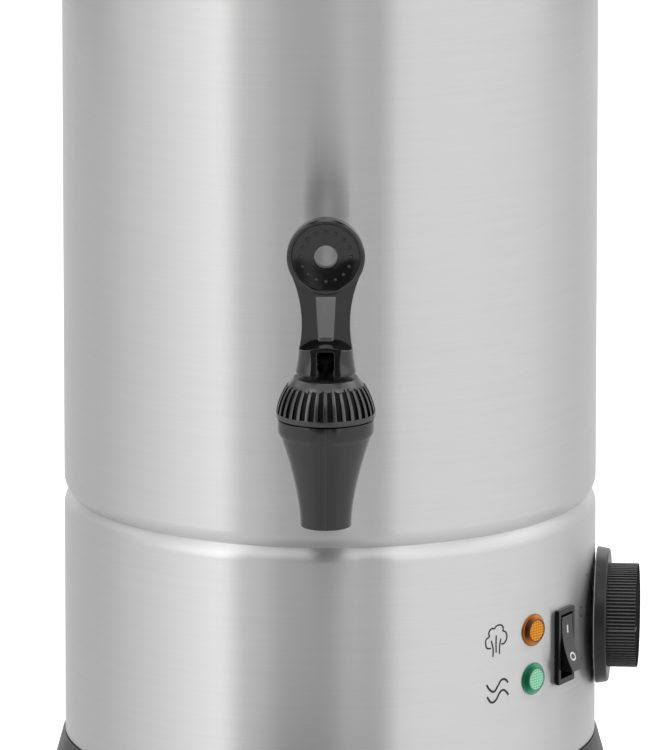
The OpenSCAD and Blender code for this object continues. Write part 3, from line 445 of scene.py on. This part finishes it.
def paint(obj, material):
    """Gives an object one finish all over."""
    obj.data.materials.clear()
    obj.data.materials.append(material)


def repaint(obj, material, takes):
    """Gives another finish to the faces that takes(middle, normal) says."""
    obj.data.materials.append(material)
    for face in obj.data.polygons:
        if takes(face.center, face.normal):
            face.material_index = len(obj.data.materials) - 1


def grey(value, tint=(1, 1, 1)):
    """A grey, or a tinted metal, as a colour."""
    return tuple(value * t for t in tint) + (1,)


# Finishes

body_steel = steel("body_steel", grey(0.65), grey(0.675), rough=(0.32, 0.34), anisotropy=1.0, stroke=5.0,
                   fineness=1700.0, bump=1e-6, metal=0.84)
vessel_steel = steel("vessel_steel", grey(0.58), grey(0.68), rough=(0.32, 0.36), anisotropy=0.9, stroke=8.0,
                     fineness=2200.0, bump=1e-6)
weld_steel = steel("weld_steel", grey(0.46), grey(0.60), rough=(0.36, 0.48), anisotropy=0.2, stroke=30.0,
                   fineness=1500.0, bump=8e-6)
fastener_steel = steel("fastener_steel", grey(0.50), grey(0.64), rough=(0.28, 0.42), anisotropy=0.2,
                       stroke=60.0, fineness=3000.0, bump=4e-6)
# Near black: painted shade for the lever's pin, which sits in the dark of the lever's slot
pin_painted_shade = steel("pin_painted_shade", grey(0.02), grey(0.03), rough=(0.3, 0.4), anisotropy=0.2, stroke=60.0,
                  fineness=3000.0, bump=4e-6)
heater_metal = steel("heater_metal", grey(0.52), grey(0.66), rough=(0.42, 0.55), anisotropy=0.1, stroke=40.0,
                     fineness=900.0, bump=1e-5)
element_metal = steel("element_metal", grey(0.16), grey(0.28), rough=(0.42, 0.6), anisotropy=0.1, stroke=40.0,
                      fineness=900.0, bump=1e-5)
sensor_brass = steel("sensor_brass", grey(0.52, (1, 0.74, 0.42)), grey(0.66, (1, 0.76, 0.46)),
                     rough=(0.25, 0.4), anisotropy=0.2, stroke=60.0, fineness=2500.0, bump=3e-6)

tap_black = moulded("tap_black", grey(0.0035), grey(0.005), rough=(0.08, 0.13), peel=420.0, grain=5200.0,
                    bump=1.5e-6, Specular_IOR_Level=0.74)
# A little lighter than the tap's black: painted sheen on the bonnet's ribs
rib_painted_sheen = moulded("rib_painted_sheen", grey(0.014), grey(0.019), rough=(0.12, 0.18), peel=700.0, grain=5200.0,
                    bump=3e-6, Specular_IOR_Level=0.90)
# Near black with little gloss: painted shade, for the bonnet's grooves, the stem in the lever's slot and the
# switch's unlit sides
painted_shade_black = moulded("painted_shade_black", grey(0.0015), grey(0.003), rough=(0.4, 0.5), peel=700.0, grain=5200.0,
                     bump=3e-6, Specular_IOR_Level=0.12)
seam_black = moulded("seam_black", grey(0.03), grey(0.05), rough=(0.2, 0.3), peel=420.0, grain=5200.0,
                     bump=1.5e-6)
moulded_black = moulded("moulded_black", grey(0.012), grey(0.018), rough=(0.32, 0.42), peel=1500.0,
                        grain=6000.0, bump=7e-6)
skirt_black = moulded("skirt_black", grey(0.007), grey(0.011), rough=(0.24, 0.32), peel=1500.0, grain=6000.0,
                      bump=5e-6, Specular_IOR_Level=0.42)
# The grip's ridges are lighter grey, as painted sheen, and its flutes near black, as painted shade
grip_painted_sheen = moulded("grip_painted_sheen", grey(0.062), grey(0.078), rough=(0.26, 0.34), peel=1500.0, grain=6000.0,
                     bump=4e-6)
flute_painted_shade = moulded("flute_painted_shade", grey(0.003), grey(0.006), rough=(0.34, 0.44), peel=1500.0, grain=6000.0,
                      bump=4e-6, Specular_IOR_Level=0.3)
# Dark and without gloss: painted shade over the knob's end, whose lit face would otherwise show
end_painted_shade = moulded("end_painted_shade", grey(0.016), grey(0.024), rough=(0.8, 0.9), peel=1500.0, grain=6000.0,
                     bump=8e-6, Specular_IOR_Level=0.0)
# Pale grey: painted light on the skirt's hidden back, so that its reflection in the steel beside the knob is
# lighter
skirt_back_painted_light = moulded("skirt_back_painted_light", grey(0.34), grey(0.42), rough=(0.5, 0.6), peel=1200.0, grain=6000.0,
                    bump=5e-6)
switch_black = moulded("switch_black", grey(0.008), grey(0.012), rough=(0.24, 0.32), peel=1200.0,
                       grain=6000.0, bump=5e-6)
# A lighter grey than the switch's black: painted light on the rocker's face
rocker_painted_light = moulded("rocker_painted_light", grey(0.045), grey(0.055), rough=(0.38, 0.46), peel=1200.0, grain=6000.0,
                      bump=5e-6)
foot_rubber = moulded("foot_rubber", grey(0.012), grey(0.02), rough=(0.62, 0.75), peel=800.0, grain=3000.0,
                      bump=2e-5)
silicone = moulded("silicone", grey(0.62), grey(0.70), rough=(0.38, 0.5), peel=500.0, grain=3000.0, bump=1e-5,
                   Subsurface_Weight=0.1)
valve_plastic = moulded("valve_plastic", grey(0.66), grey(0.74), rough=(0.3, 0.4), peel=600.0, grain=4000.0,
                        bump=5e-6)
ceramic_white = moulded("ceramic_white", grey(0.68), grey(0.76), rough=(0.25, 0.4), peel=300.0, grain=3000.0,
                        bump=6e-6)
print_black = moulded("print_black", grey(0.005), grey(0.009), rough=(0.42, 0.5), peel=2500.0, grain=8000.0,
                      bump=2e-6)
print_white = moulded("print_white", grey(0.66), grey(0.76), rough=(0.42, 0.5), peel=2500.0, grain=8000.0,
                      bump=2e-6)
line_grey = moulded("line_grey", grey(0.07), grey(0.10), rough=(0.4, 0.5), peel=2500.0, grain=8000.0,
                    bump=2e-6)

FINISHES = {
    body_steel: ["casing"],
    vessel_steel: ["tank", "lid", "base_plate"],
    tap_black: ["tap_body", "lever"],
    # The stem in the lever's slot is painted near black, as painted shade
    painted_shade_black: ["stem"],
    rib_painted_sheen: ["bonnet"],
    moulded_black: ["base_ring", "thermostat_knob", "handle_right", "handle_left", "lid_knob", "cable_gland",
                    "gland_nut", "amber_lamp", "green_lamp"],
    switch_black: ["switch_housing", "rocker"],
    foot_rubber: ["feet"],
    silicone: ["tap_washer_outer", "tap_washer_inner", "stem_seal", "seat_cup", "wall_spacer"],
    valve_plastic: ["tap_nut"],
    ceramic_white: ["thermostat_body", "terminal_block", "boil_dry_cutout"],
    fastener_steel: ["foot_screws", "tie_rod", "tie_nut", "thermostat_screws", "thermostat_shaft",
                     "tap_spring", "lamp_nuts", "handle_screws", "lid_knob_screw"],
    pin_painted_shade: ["lever_pin"],
    heater_metal: ["heater_plate"],
    element_metal: ["heating_element"],
    sensor_brass: ["sensor_bulb", "capillary_tube", "switch_terminals"],
}
for finish, names in FINISHES.items():
    for name in names:
        paint(nodes[name], finish)


# Copies that stand for CAD nodes

HEAD_Z = 0.285
DISH_R = 0.0186
SPOUT_BACK_Y = -0.14
BONNET_BORE_R = 0.012


def lever_edge(middle):
    """The edges in the lever's dished head stay sharper than the others."""
    return 0.3 if math.hypot(middle.x, middle.z - HEAD_Z) < DISH_R else 1.0


def spout_edge(middle):
    """The spout's edges are rounded, and those of the shank behind it aren't."""
    return middle.y < SPOUT_BACK_Y


def bonnet_edge(middle):
    """The bonnet's outer edges are rounded, and those round the stem aren't."""
    return math.hypot(middle.x, middle.y + TAP_Y) > BONNET_BORE_R


casing = smooth(twin("casing", "urn"), 20)
softened("lever", "lever", 0.45, lever_edge)
softened("tap_body", "urn", 0.4, spout_edge)
bonnet = softened("bonnet", "urn", 0.22, bonnet_edge)
housing = softened("switch_housing", "urn", 0.4)
rocker = softened("rocker", "rocker", 0.45)
knob = softened("thermostat_knob", "knob", 0.15)
softened("base_ring", "urn", 0.8)

spring = smooth(twin("tap_spring", "urn"), 60)
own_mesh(spring)

# The bonnet's dome and ribs, in millimetres
BONNET_H = 17.8
BONNET_FLOOR_R = 20.7
BONNET_TOP_R = 14.0
RIB_H = 1.3
RIB_FADE = 0.6
RIB_TOP = 14.2
GROOVE_LOW = 2.5
GROOVE_HIGH = 14.1
RIB_SKIN = 0.3


def between_ribs(middle, normal):
    """True for the floors and the flanks of the bonnet's grooves."""
    z = (middle.z - TAP_Z) / MM
    if not GROOVE_LOW < z < GROOVE_HIGH:
        return False
    narrowing = (1 - (BONNET_TOP_R / BONNET_FLOOR_R) ** 2) * (z / BONNET_H) ** 2
    dome_r = BONNET_FLOOR_R * math.sqrt(1 - narrowing)
    rib_r = dome_r + RIB_H * (1 - RIB_FADE * z / RIB_TOP)
    return math.hypot(middle.x, middle.y + TAP_Y) / MM < rib_r - RIB_SKIN


# The floors and flanks of the bonnet's grooves are painted near black, as painted shade
repaint(bonnet, painted_shade_black, between_ribs)


# Finishes of the knob and the switch

on_knob = wall_place(KNOB_TURN, KNOB_Z).inverted()
on_switch = wall_place(SWITCH_TURN, SWITCH_Z).inverted()
SKIRT_BACK = 6 * MM
GRIP_FROM = 6.6 * MM
FLUTE_R = 23.2 * MM

# How far along an axis a normal points where its face looks that way squarely, mostly or a little
SQUARELY = 0.8
MOSTLY = 0.6
A_LITTLE = 0.3


def knob_normal(normal):
    """A normal in the knob's frame, with z outwards along its axis."""
    return on_knob.to_3x3() @ normal


def switch_normal(normal):
    """A normal in the switch's frame, with x to the right and z outwards."""
    return on_switch.to_3x3() @ normal


def on_grip(middle, normal):
    """True for the knob in front of its skirt."""
    return (on_knob @ middle).z > GRIP_FROM


def in_flute(middle, normal):
    """True for the floors and flanks of the knob's flutes."""
    return on_grip(middle, normal) and (on_knob @ middle).xy.length < FLUTE_R


def on_end(middle, normal):
    """True for the knob's end."""
    return on_grip(middle, normal) and knob_normal(normal).z > SQUARELY


def on_back(middle, normal):
    """True for the side of the knob's skirt that faces the casing."""
    return (on_knob @ middle).z < SKIRT_BACK and knob_normal(normal).z < -A_LITTLE


paint(knob, skirt_black)
# Painted sheen on the grip's ridges, and painted shade in its flutes
repaint(knob, grip_painted_sheen, on_grip)
repaint(knob, flute_painted_shade, in_flute)
# The knob's end is painted dark, as painted shade
repaint(knob, end_painted_shade, on_end)
# The skirt's back is painted pale, for a lighter painted reflection in the steel
repaint(knob, skirt_back_painted_light, on_back)
# The bezel's left side and the rocker's ends are painted near black, as painted shade
repaint(housing, painted_shade_black, lambda middle, normal: switch_normal(normal).x < -SQUARELY)
repaint(rocker, painted_shade_black, lambda middle, normal: abs(switch_normal(normal).x) > SQUARELY)
# The rocker's face is painted lighter grey than its sides, as painted light
repaint(rocker, rocker_painted_light, lambda middle, normal: switch_normal(normal).z > MOSTLY)


# Lamps

# Radius and height along the lens's cap, and the bounds of its parts, in millimetres
LENS_PROFILE = [(7.3, 0.02), (7.3, 0.45), (7.15, 0.62), (6.95, 0.66), (6.75, 0.8), (6.5, 1.25), (6.15, 1.7),
                (5.7, 2.08), (5.3, 2.3), (4.95, 2.4), (4.75, 2.3), (4.65, 2.05)]
LENS_SIDES = 48
WELL_IN_R = 4.6
WELL_OUT_R = 5.4
FLANGE_R = 6.9
FIELD_SIZE = 9.8
FIELD_R = 4.95
FIELD_Z = 2.0
FIELD_LIFT = 0.08
PRISM_ROWS = 8
PRISM_GAP = 0.12
PRISM_H = 0.22

# The shades of a lens's parts, from looked into to looked along: painted shade where looked into, a paler
# painted sheen where looked along, and the well and the gaps between the prisms painted darker, as painted
# shade
LENS_PARTS = ("rim", "well", "prism", "gap")
AMBER = {
    "rim": [(0.035, 0.007, 0.0), (0.36, 0.09, 0.002), (0.52, 0.155, 0.003), (0.40, 0.21, 0.12)],
    "well": [(0.07, 0.022, 0.004), (0.09, 0.035, 0.012), (0.12, 0.055, 0.025), (0.2, 0.1, 0.05)],
    "prism": [(0.86, 0.36, 0.012), (0.84, 0.34, 0.012), (0.80, 0.31, 0.01), (0.6, 0.2, 0.006)],
    "gap": [(0.38, 0.11, 0.002), (0.38, 0.11, 0.002), (0.36, 0.10, 0.002), (0.3, 0.09, 0.003)],
}
GREEN = {
    "rim": [(0.0, 0.07, 0.025), (0.0, 0.20, 0.09), (0.06, 0.30, 0.16), (0.22, 0.40, 0.31)],
    "well": [(0.06, 0.18, 0.12), (0.08, 0.20, 0.13), (0.11, 0.22, 0.15), (0.2, 0.3, 0.24)],
    "prism": [(0.36, 0.76, 0.52), (0.34, 0.74, 0.50), (0.32, 0.70, 0.47), (0.2, 0.5, 0.33)],
    "gap": [(0.13, 0.42, 0.25), (0.13, 0.42, 0.25), (0.12, 0.40, 0.23), (0.1, 0.3, 0.2)],
}


def lens_cap(name, finishes, flange):
    """A lens's flange and raised cap, with a well round the middle. The flange has the finish of a part."""
    cap = turned(name, [(r * MM, z * MM) for r, z in LENS_PROFILE], LENS_SIDES)
    for finish in finishes:
        cap.data.materials.append(finish)
    for face in cap.data.polygons:
        out = face.center.xy.length / MM
        part = "rim"
        if WELL_IN_R < out < WELL_OUT_R:
            part = "well"
        elif out > FLANGE_R:
            part = flange
        face.material_index = LENS_PARTS.index(part)
    return cap


def lens_field(name, finishes):
    """The field of small pyramids in a lens's middle."""
    bpy.ops.object.select_all(action="DESELECT")
    bpy.ops.mesh.primitive_grid_add(x_subdivisions=PRISM_ROWS, y_subdivisions=PRISM_ROWS,
                                    size=FIELD_SIZE * MM, location=(0, 0, FIELD_Z * MM))
    field = settle(named(name))
    for finish in finishes:
        field.data.materials.append(finish)
    form = bmesh.new()
    form.from_mesh(field.data)
    outside = [f for f in form.faces if f.calc_center_median().xy.length > FIELD_R * MM]
    bmesh.ops.delete(form, geom=outside, context="FACES")
    form.to_mesh(field.data)
    form.free()
    only(field)
    bpy.ops.object.mode_set(mode="EDIT")
    bpy.ops.mesh.select_mode(type="FACE")
    bpy.ops.mesh.select_all(action="SELECT")
    bpy.ops.mesh.extrude_region_move(TRANSFORM_OT_translate={"value": (0, 0, FIELD_LIFT * MM)})
    field.active_material_index = LENS_PARTS.index("gap")
    bpy.ops.object.material_slot_assign()
    bpy.ops.mesh.inset(thickness=PRISM_GAP * MM, use_individual=True)
    field.active_material_index = LENS_PARTS.index("prism")
    bpy.ops.object.material_slot_assign()
    bpy.ops.mesh.poke(offset=PRISM_H * MM)
    bpy.ops.object.mode_set(mode="OBJECT")
    return close_seams(field)


def lens(colour, height, shades, flange):
    """A lamp's moulded lens on the casing."""
    node = colour + "_lens"
    finishes = [glass(colour + "_" + part, shades[part]) for part in LENS_PARTS]
    cap = lens_cap(node + "_cap", finishes, flange)
    field = lens_field(node + "_field", finishes)
    piece = smooth(joined([cap, field], node + "_form"), 25)
    put(piece, wall_place(LAMP_TURN, height))
    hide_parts(node)
    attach(piece, "urn")


lens("amber", AMBER_Z, AMBER, flange="gap")
lens("green", GREEN_Z, GREEN, flange="rim")


# Printed marks, drawn in millimetres

INK_THICK = 0.06
INK_LIFT = 0.01 * MM


def pen_line(points, width):
    """A printed stroke: a wire in x and y, pressed flat."""
    obj = drawn("stroke", [(x * MM, y * MM, 0) for x, y in points], width * MM / 2)
    for v in obj.data.vertices:
        v.co.z = (v.co.z / (width * MM) + 0.5) * INK_THICK * MM
    return obj


def wrapped(obj, turn, height):
    """Lays a flat mark, drawn in x and y with its thickness in z, round the casing."""
    for v in obj.data.vertices:
        a = math.radians(turn) + v.co.x / CASING_R
        r = CASING_R + INK_LIFT + v.co.z
        v.co = (r * math.sin(a), -r * math.cos(a), height + v.co.y)
    obj.data.update()
    return obj


def printed(name, strokes, turn, height, width):
    """A mark printed on the casing, from strokes."""
    lines = [pen_line(points, width) for points in strokes]
    mark = wrapped(joined(lines, name), turn, height)
    paint(mark, print_black)
    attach(mark, "urn")


STEAM = [[(-2.97, -3.1), (-5.2, -2.6), (-5.9, -0.6), (-5.65, 1.4), (-3.8, 2.3)],
         [(-3.8, 2.3), (-4.1, 4.35), (-2.4, 5.95), (-1.1, 5.6)],
         [(-1.1, 5.6), (0.15, 6.75), (2.4, 6.9), (3.95, 5.6), (3.8, 4.0)],
         [(3.8, 4.0), (5.5, 3.1), (6.2, 1.15), (5.65, -0.8), (3.8, -2.06), (2.97, -1.7)],
         [(-2.8, 0.35), (-2.0, -2.3), (-1.7, -4.35), (-1.85, -7.1)],
         [(0.0, 2.5), (-0.1, -1.2), (0.0, -5.4)],
         [(2.7, 0.6), (2.0, -2.3), (1.85, -6.3)]]
WARMTH = [[(-6.2, 3.3), (-4.1, 0.6), (-2.1, -0.3), (0.15, 1.95), (2.5, 4.5), (4.7, 4.2), (6.1, 2.6)],
          [(-5.9, -2.3), (-3.1, -5.15), (-1.0, -4.35), (1.1, -1.5), (3.0, -0.35), (4.9, -1.26), (6.4, -3.1)]]
printed("steam_mark", STEAM, turn=38.7, height=0.0955, width=0.72)
printed("warmth_mark", WARMTH, turn=39.1, height=0.0726, width=0.95)

NOUGHT_X = -33.2
NOUGHT_Y = 9.45
NOUGHT_HALF_W = 1.6
NOUGHT_HALF_H = 2.3
TICKS = 9
TICK_FIRST = 201
TICK_STEP = 33
TICK_LEFT_OUT = 1
TICK_REACH = (33.4, 35.8)


def dial_marks():
    """The dial's outline nought, and plain ticks round the knob, but none beside the nought."""
    eighths = [i * math.pi / 4 for i in range(9)]
    strokes = [[(NOUGHT_X + NOUGHT_HALF_W * math.cos(a), NOUGHT_Y + NOUGHT_HALF_H * math.sin(a))
                for a in eighths]]
    for i in range(TICKS):
        a = math.radians(TICK_FIRST - TICK_STEP * i)
        if i != TICK_LEFT_OUT:
            strokes.append([(r * math.cos(a), r * math.sin(a)) for r in TICK_REACH])
    printed("dial_marks", strokes, KNOB_TURN, KNOB_Z, width=0.45)


dial_marks()

# The rocker's face, in millimetres from its pivot, and its tilt at rest in degrees
ROCKER_PIVOT = -1.8
ROCKER_VALLEY = 5.4
ROCKER_RISE = 2.0
ROCKER_HALF = 12.7
ROCKER_TILT = 13
ROCKER_INK = 0.2
RING_Y = -6.2
RING_HALF_W = 1.9
RING_HALF_H = 1.6


def rocker_face(y):
    """How far the rocker's hollow face stands out, at a height over its pivot."""
    return ROCKER_VALLEY + ROCKER_RISE * (y / ROCKER_HALF) ** 2


def rocker_stroke(name, points, width, closed=False):
    """A stroke on the rocker's face, pressed flat along it."""
    path = [(x * MM, y * MM, rocker_face(y) * MM) for x, y in points]
    mark = drawn(name, path, width * MM / 2, closed)
    for v in mark.data.vertices:
        base = rocker_face(v.co.y / MM) * MM
        v.co.z = base + (v.co.z - base) * ROCKER_INK
    return mark


def rocker_marks():
    """The line and the ring on the rocker's two ends."""
    twelfths = [i * math.pi / 6 for i in range(12)]
    ring = [(RING_HALF_W * math.cos(a), RING_Y + RING_HALF_H * math.sin(a)) for a in twelfths]
    marks = joined([rocker_stroke("line", [(0, 4.9), (0, 6.6), (0, 8.3)], 1.1),
                    rocker_stroke("ring", ring, 0.85, closed=True)], "rocker_marks")
    put(marks, wall_place(SWITCH_TURN, SWITCH_Z) @ Matrix.Translation((0, 0, ROCKER_PIVOT * MM))
        @ Matrix.Rotation(math.radians(-ROCKER_TILT), 4, "X"))
    paint(marks, print_white)
    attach(marks, "rocker")


rocker_marks()


# Fine lines

# The light line's radius and distance from the casing along its way, in millimetres
LIGHT_LINE_TURN = 183.7
LIGHT_LINE_WAY = [(23.45, 7.2), (23.45, 18.9), (22.9, 19.45), (18.5, 19.45)]


def knob_light_line():
    """A light line along the knob's grip and a little over its end."""
    a = math.radians(LIGHT_LINE_TURN)
    points = [(r * MM * math.cos(a), r * MM * math.sin(a), z * MM) for r, z in LIGHT_LINE_WAY]
    line = drawn("knob_light_line", points, 0.35 * MM, kind="POLY")
    put(line, wall_place(KNOB_TURN, KNOB_Z))
    paint(line, line_grey)
    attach(line, "knob")


knob_light_line()

WELD_TURN = 197
WELD_LOW = 0.0345
WELD_STEP = 0.003
WELD_POINTS = 131
WELD_SUNK = 0.25
OUTSIDE_R = 0.2
INNER_R = 0.11


def weld_seam():
    """The flattened weld that closes the casing, behind, over the rolled groove too."""
    bpy.context.view_layer.update()
    a = math.radians(WELD_TURN)
    out = Vector((math.sin(a), -math.cos(a), 0))
    points = []
    for step in range(WELD_POINTS):
        start = out * OUTSIDE_R + Vector((0, 0, WELD_LOW + step * WELD_STEP))
        found, hit, normal, _ = casing.ray_cast(start, -out)
        if found and hit.xy.length > INNER_R:
            points.append(hit - normal * WELD_SUNK * MM)
    seam = drawn("weld_seam", points, 0.4 * MM, kind="POLY")
    paint(seam, weld_steel)
    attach(seam, "urn")


weld_seam()

# The spout's outline, in millimetres from the tap's axis and from the bonnet's foot
PARTING_TOP_Z = -0.9
SHOULDER_OUT_R = 21.2
SHOULDER_Z = -5.2
SHOULDER_R = 5.5
SHOULDER_TURN = 40
SHOULDER_STEPS = 6
SPOUT_R = 11.2
SPOUT_END_Z = -48
SPOUT_POWER = 1.6
TAPER_STEPS = 14
PARTING_SUNK = 0.02


def parting_line():
    """The mould's parting line, down the front of the spout."""
    points = [(SHOULDER_OUT_R, PARTING_TOP_Z), (SHOULDER_OUT_R, SHOULDER_Z)]
    for i in range(1, SHOULDER_STEPS + 1):
        a = math.radians(SHOULDER_TURN) * i / SHOULDER_STEPS
        points.append((SHOULDER_OUT_R - SHOULDER_R * (1 - math.cos(a)),
                       SHOULDER_Z - SHOULDER_R * math.sin(a)))
    taper_r, taper_z = points[-1]
    for i in range(1, TAPER_STEPS + 1):
        t = 1 - i / TAPER_STEPS
        points.append((SPOUT_R + (taper_r - SPOUT_R) * t ** SPOUT_POWER,
                       SPOUT_END_Z + (taper_z - SPOUT_END_Z) * t))
    front = [(0, -TAP_Y - (r - PARTING_SUNK) * MM, TAP_Z + z * MM) for r, z in points]
    line = drawn("spout_parting_line", front, 0.14 * MM, kind="POLY")
    paint(line, seam_black)
    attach(line, "urn")


parting_line()


# Studio

WHITE = (1, 1, 1, 1)

# How bright the studio is in reflections, by the angle round the urn: tall softboxes, and dark in front
BOXES = [
    (-180, 1.0), (-150, 0.78), (-138, 0.58), (-120, 0.46), (-110, 0.45), (-100, 0.58), (-85, 1.0),
    (-70, 1.58), (-56, 1.95), (-48, 2.18), (-43.5, 1.50), (-38, 0.42), (-30, 0.54), (-24, 0.28),
    (-19, 0.08), (-9, 0.07), (0, 0.08), (6, 0.34), (10, 0.42), (17, 0.16), (23.5, 0.10), (27, 0.62),
    (30, 1.14), (36, 1.12), (44, 1.25), (65, 1.38), (88, 1.26), (108, 1.0), (130, 0.76), (146, 0.74),
    (160, 0.95), (180, 1.0)]

# How bright the table is in reflections, by the same angle
TABLE = [
    (-180, 0.7), (-150, 0.60), (-120, 0.62), (-95, 0.80), (-60, 0.84), (-30, 0.72), (30, 0.72), (60, 0.84),
    (95, 0.80), (130, 0.67), (180, 0.7)]


def studio_gloss(tree):
    """How bright the studio is in a reflection's direction: softboxes over a table, and light from above."""
    x, y, z = add(tree, "SeparateXYZ", {0: add(tree, "TexCoord").outputs["Generated"]}).outputs
    turn = sums(tree, "DEGREES", sums(tree, "ARCTAN2", x, sums(tree, "MULTIPLY", y, -1.0)))
    rise = sums(tree, "DEGREES", sums(tree, "ARCSINE", z))
    aside = sums(tree, "ABSOLUTE", turn)
    # The softboxes fade out upwards
    boxes = sums(tree, "MULTIPLY", ramp(tree, turn, BOXES), spread(tree, rise, 62.0, 48.0, 0.08, 1.0))
    # Higher up there is light behind the urn, before it and overhead
    behind = sums(tree, "MULTIPLY", spread(tree, aside, 85.0, 115.0),
                  spread(tree, rise, 18.0, 36.0, 0.0, 0.9))
    before = sums(tree, "MULTIPLY", spread(tree, aside, 70.0, 40.0),
                  spread(tree, rise, 24.0, 38.0, 0.0, 0.9))
    overhead = spread(tree, rise, 68.0, 80.0)
    lit = sums(tree, "ADD", sums(tree, "ADD", sums(tree, "ADD", boxes, behind), before), overhead)
    # The table ends at the horizon at the sides and lower in front
    level = sums(tree, "ADD", rise, spread(tree, aside, 60.0, 30.0, 0.0, 10.5))
    table = sums(tree, "MULTIPLY", spread(tree, level, 1.0, -1.5), ramp(tree, turn, TABLE))
    return sums(tree, "ADD", sums(tree, "MULTIPLY", lit, spread(tree, level, -1.5, 1.0)), table)


def studio_world():
    """White for the camera, the studio for gloss, and an even light for the rest."""
    world = bpy.data.worlds.new("studio")
    bpy.context.scene.world = world
    world.use_nodes = True
    world.cycles.sampling_method = "NONE"
    tree = world.node_tree
    tree.nodes.clear()
    path = add(tree, "LightPath").outputs
    shiny = sums(tree, "MAXIMUM", path["Is Glossy Ray"], path["Is Transmission Ray"])
    even = add(tree, "Background", {"Color": WHITE, "Strength": 0.4})
    studio = add(tree, "Background", {"Color": WHITE, "Strength": studio_gloss(tree)})
    white = add(tree, "Background", {"Color": WHITE, "Strength": 1.0})
    light = add(tree, "MixShader", {0: shiny, 1: even.outputs[0], 2: studio.outputs[0]})
    seen = add(tree, "MixShader", {0: path["Is Camera Ray"], 1: light.outputs[0], 2: white.outputs[0]})
    feed(tree, add(tree, "OutputWorld").inputs[0], seen.outputs[0])


def softbox(name, place, width, height, watts):
    """A lamp that faces the urn and doesn't show in gloss, where the world's softboxes do."""
    aim = Vector((0, 0, 0.2))
    light = bpy.data.lights.new(name, "AREA")
    light.shape = "RECTANGLE"
    light.size = width
    light.size_y = height
    light.energy = watts
    obj = bpy.data.objects.new(name, light)
    bpy.context.scene.collection.objects.link(obj)
    obj.location = place
    obj.rotation_euler = (aim - Vector(place)).to_track_quat("-Z", "Y").to_euler()
    obj.visible_glossy = False


def pale_floor():
    """A wide pale floor that keeps the urn's shadow and is white to the camera elsewhere."""
    bpy.ops.object.select_all(action="DESELECT")
    bpy.ops.mesh.primitive_circle_add(vertices=96, radius=14.0, fill_type="NGON", location=(0, 0, 0))
    floor = named("floor")
    floor.visible_glossy = False
    material, tree = bare_material("floor_white")
    seen = add(tree, "LightPath").outputs["Is Camera Ray"]
    matt = add(tree, "BsdfDiffuse", {"Color": (0.88, 0.88, 0.88, 1)})
    lift = add(tree, "Emission", {"Strength": sums(tree, "MULTIPLY", seen, 0.62)})
    both = add(tree, "AddShader", {0: matt.outputs[0], 1: lift.outputs[0]})
    feed(tree, add(tree, "OutputMaterial").inputs[0], both.outputs[0])
    paint(floor, material)


# Place and size of the painted shadow before the urn, in metres
FLAG_X = -0.015
FLAG_Y = -0.16
FLAG_R = 0.09
FLAG_CORE_R = 0.03
FLAG_LIFT = 0.001


def painted_shadow_flag():
    """A dark patch on the floor before the urn, seen only in reflections: the urn's painted shadow on the
    floor, whose mirror image shows low on the steel.
    """
    bpy.ops.object.select_all(action="DESELECT")
    bpy.ops.mesh.primitive_circle_add(vertices=64, radius=FLAG_R, fill_type="NGON",
                                      location=(FLAG_X, FLAG_Y, FLAG_LIFT))
    flag = settle(named("painted_shadow_flag"))
    flag.visible_camera = flag.visible_diffuse = flag.visible_shadow = flag.visible_transmission = False
    material, tree = bare_material("flag_painted_shadow")
    x, y, _ = add(tree, "SeparateXYZ", {0: add(tree, "TexCoord").outputs["Object"]}).outputs
    across = sums(tree, "SUBTRACT", x, FLAG_X)
    along = sums(tree, "SUBTRACT", y, FLAG_Y)
    away = sums(tree, "SQRT", sums(tree, "ADD", sums(tree, "MULTIPLY", across, across),
                                   sums(tree, "MULTIPLY", along, along)))
    shadow_tone = add(tree, "BsdfDiffuse", {"Color": (0.02, 0.02, 0.02, 1)})
    clear = add(tree, "BsdfTransparent")
    fade = add(tree, "MixShader", {0: spread(tree, away, FLAG_CORE_R, FLAG_R), 1: shadow_tone.outputs[0],
                                   2: clear.outputs[0]})
    feed(tree, add(tree, "OutputMaterial").inputs[0], fade.outputs[0])
    paint(flag, material)


def photo_camera():
    """The camera at the photo's viewing angle, far off and looking a little down."""
    data = bpy.data.cameras.new("camera")
    data.sensor_width = 36.0
    data.lens = 576.0
    data.clip_end = 100.0
    camera = bpy.data.objects.new("camera", data)
    bpy.context.scene.collection.objects.link(camera)
    camera.location = (0.0610, -5.2695, 1.4164)
    aim = Vector((-0.0005, 0.0, 0.195))
    camera.rotation_euler = (aim - camera.location).to_track_quat("-Z", "Y").to_euler()
    bpy.context.scene.camera = camera


studio_world()
softbox("left_light", (-2.2, -1.4, 1.6), width=1.2, height=1.8, watts=28.0)
softbox("right_light", (2.2, -1.2, 1.6), width=1.2, height=1.8, watts=26.0)
softbox("top_light", (0.3, -0.6, 2.6), width=1.6, height=1.6, watts=30.0)
pale_floor()
painted_shadow_flag()
photo_camera()
bpy.context.scene.view_settings.view_transform = "Standard"
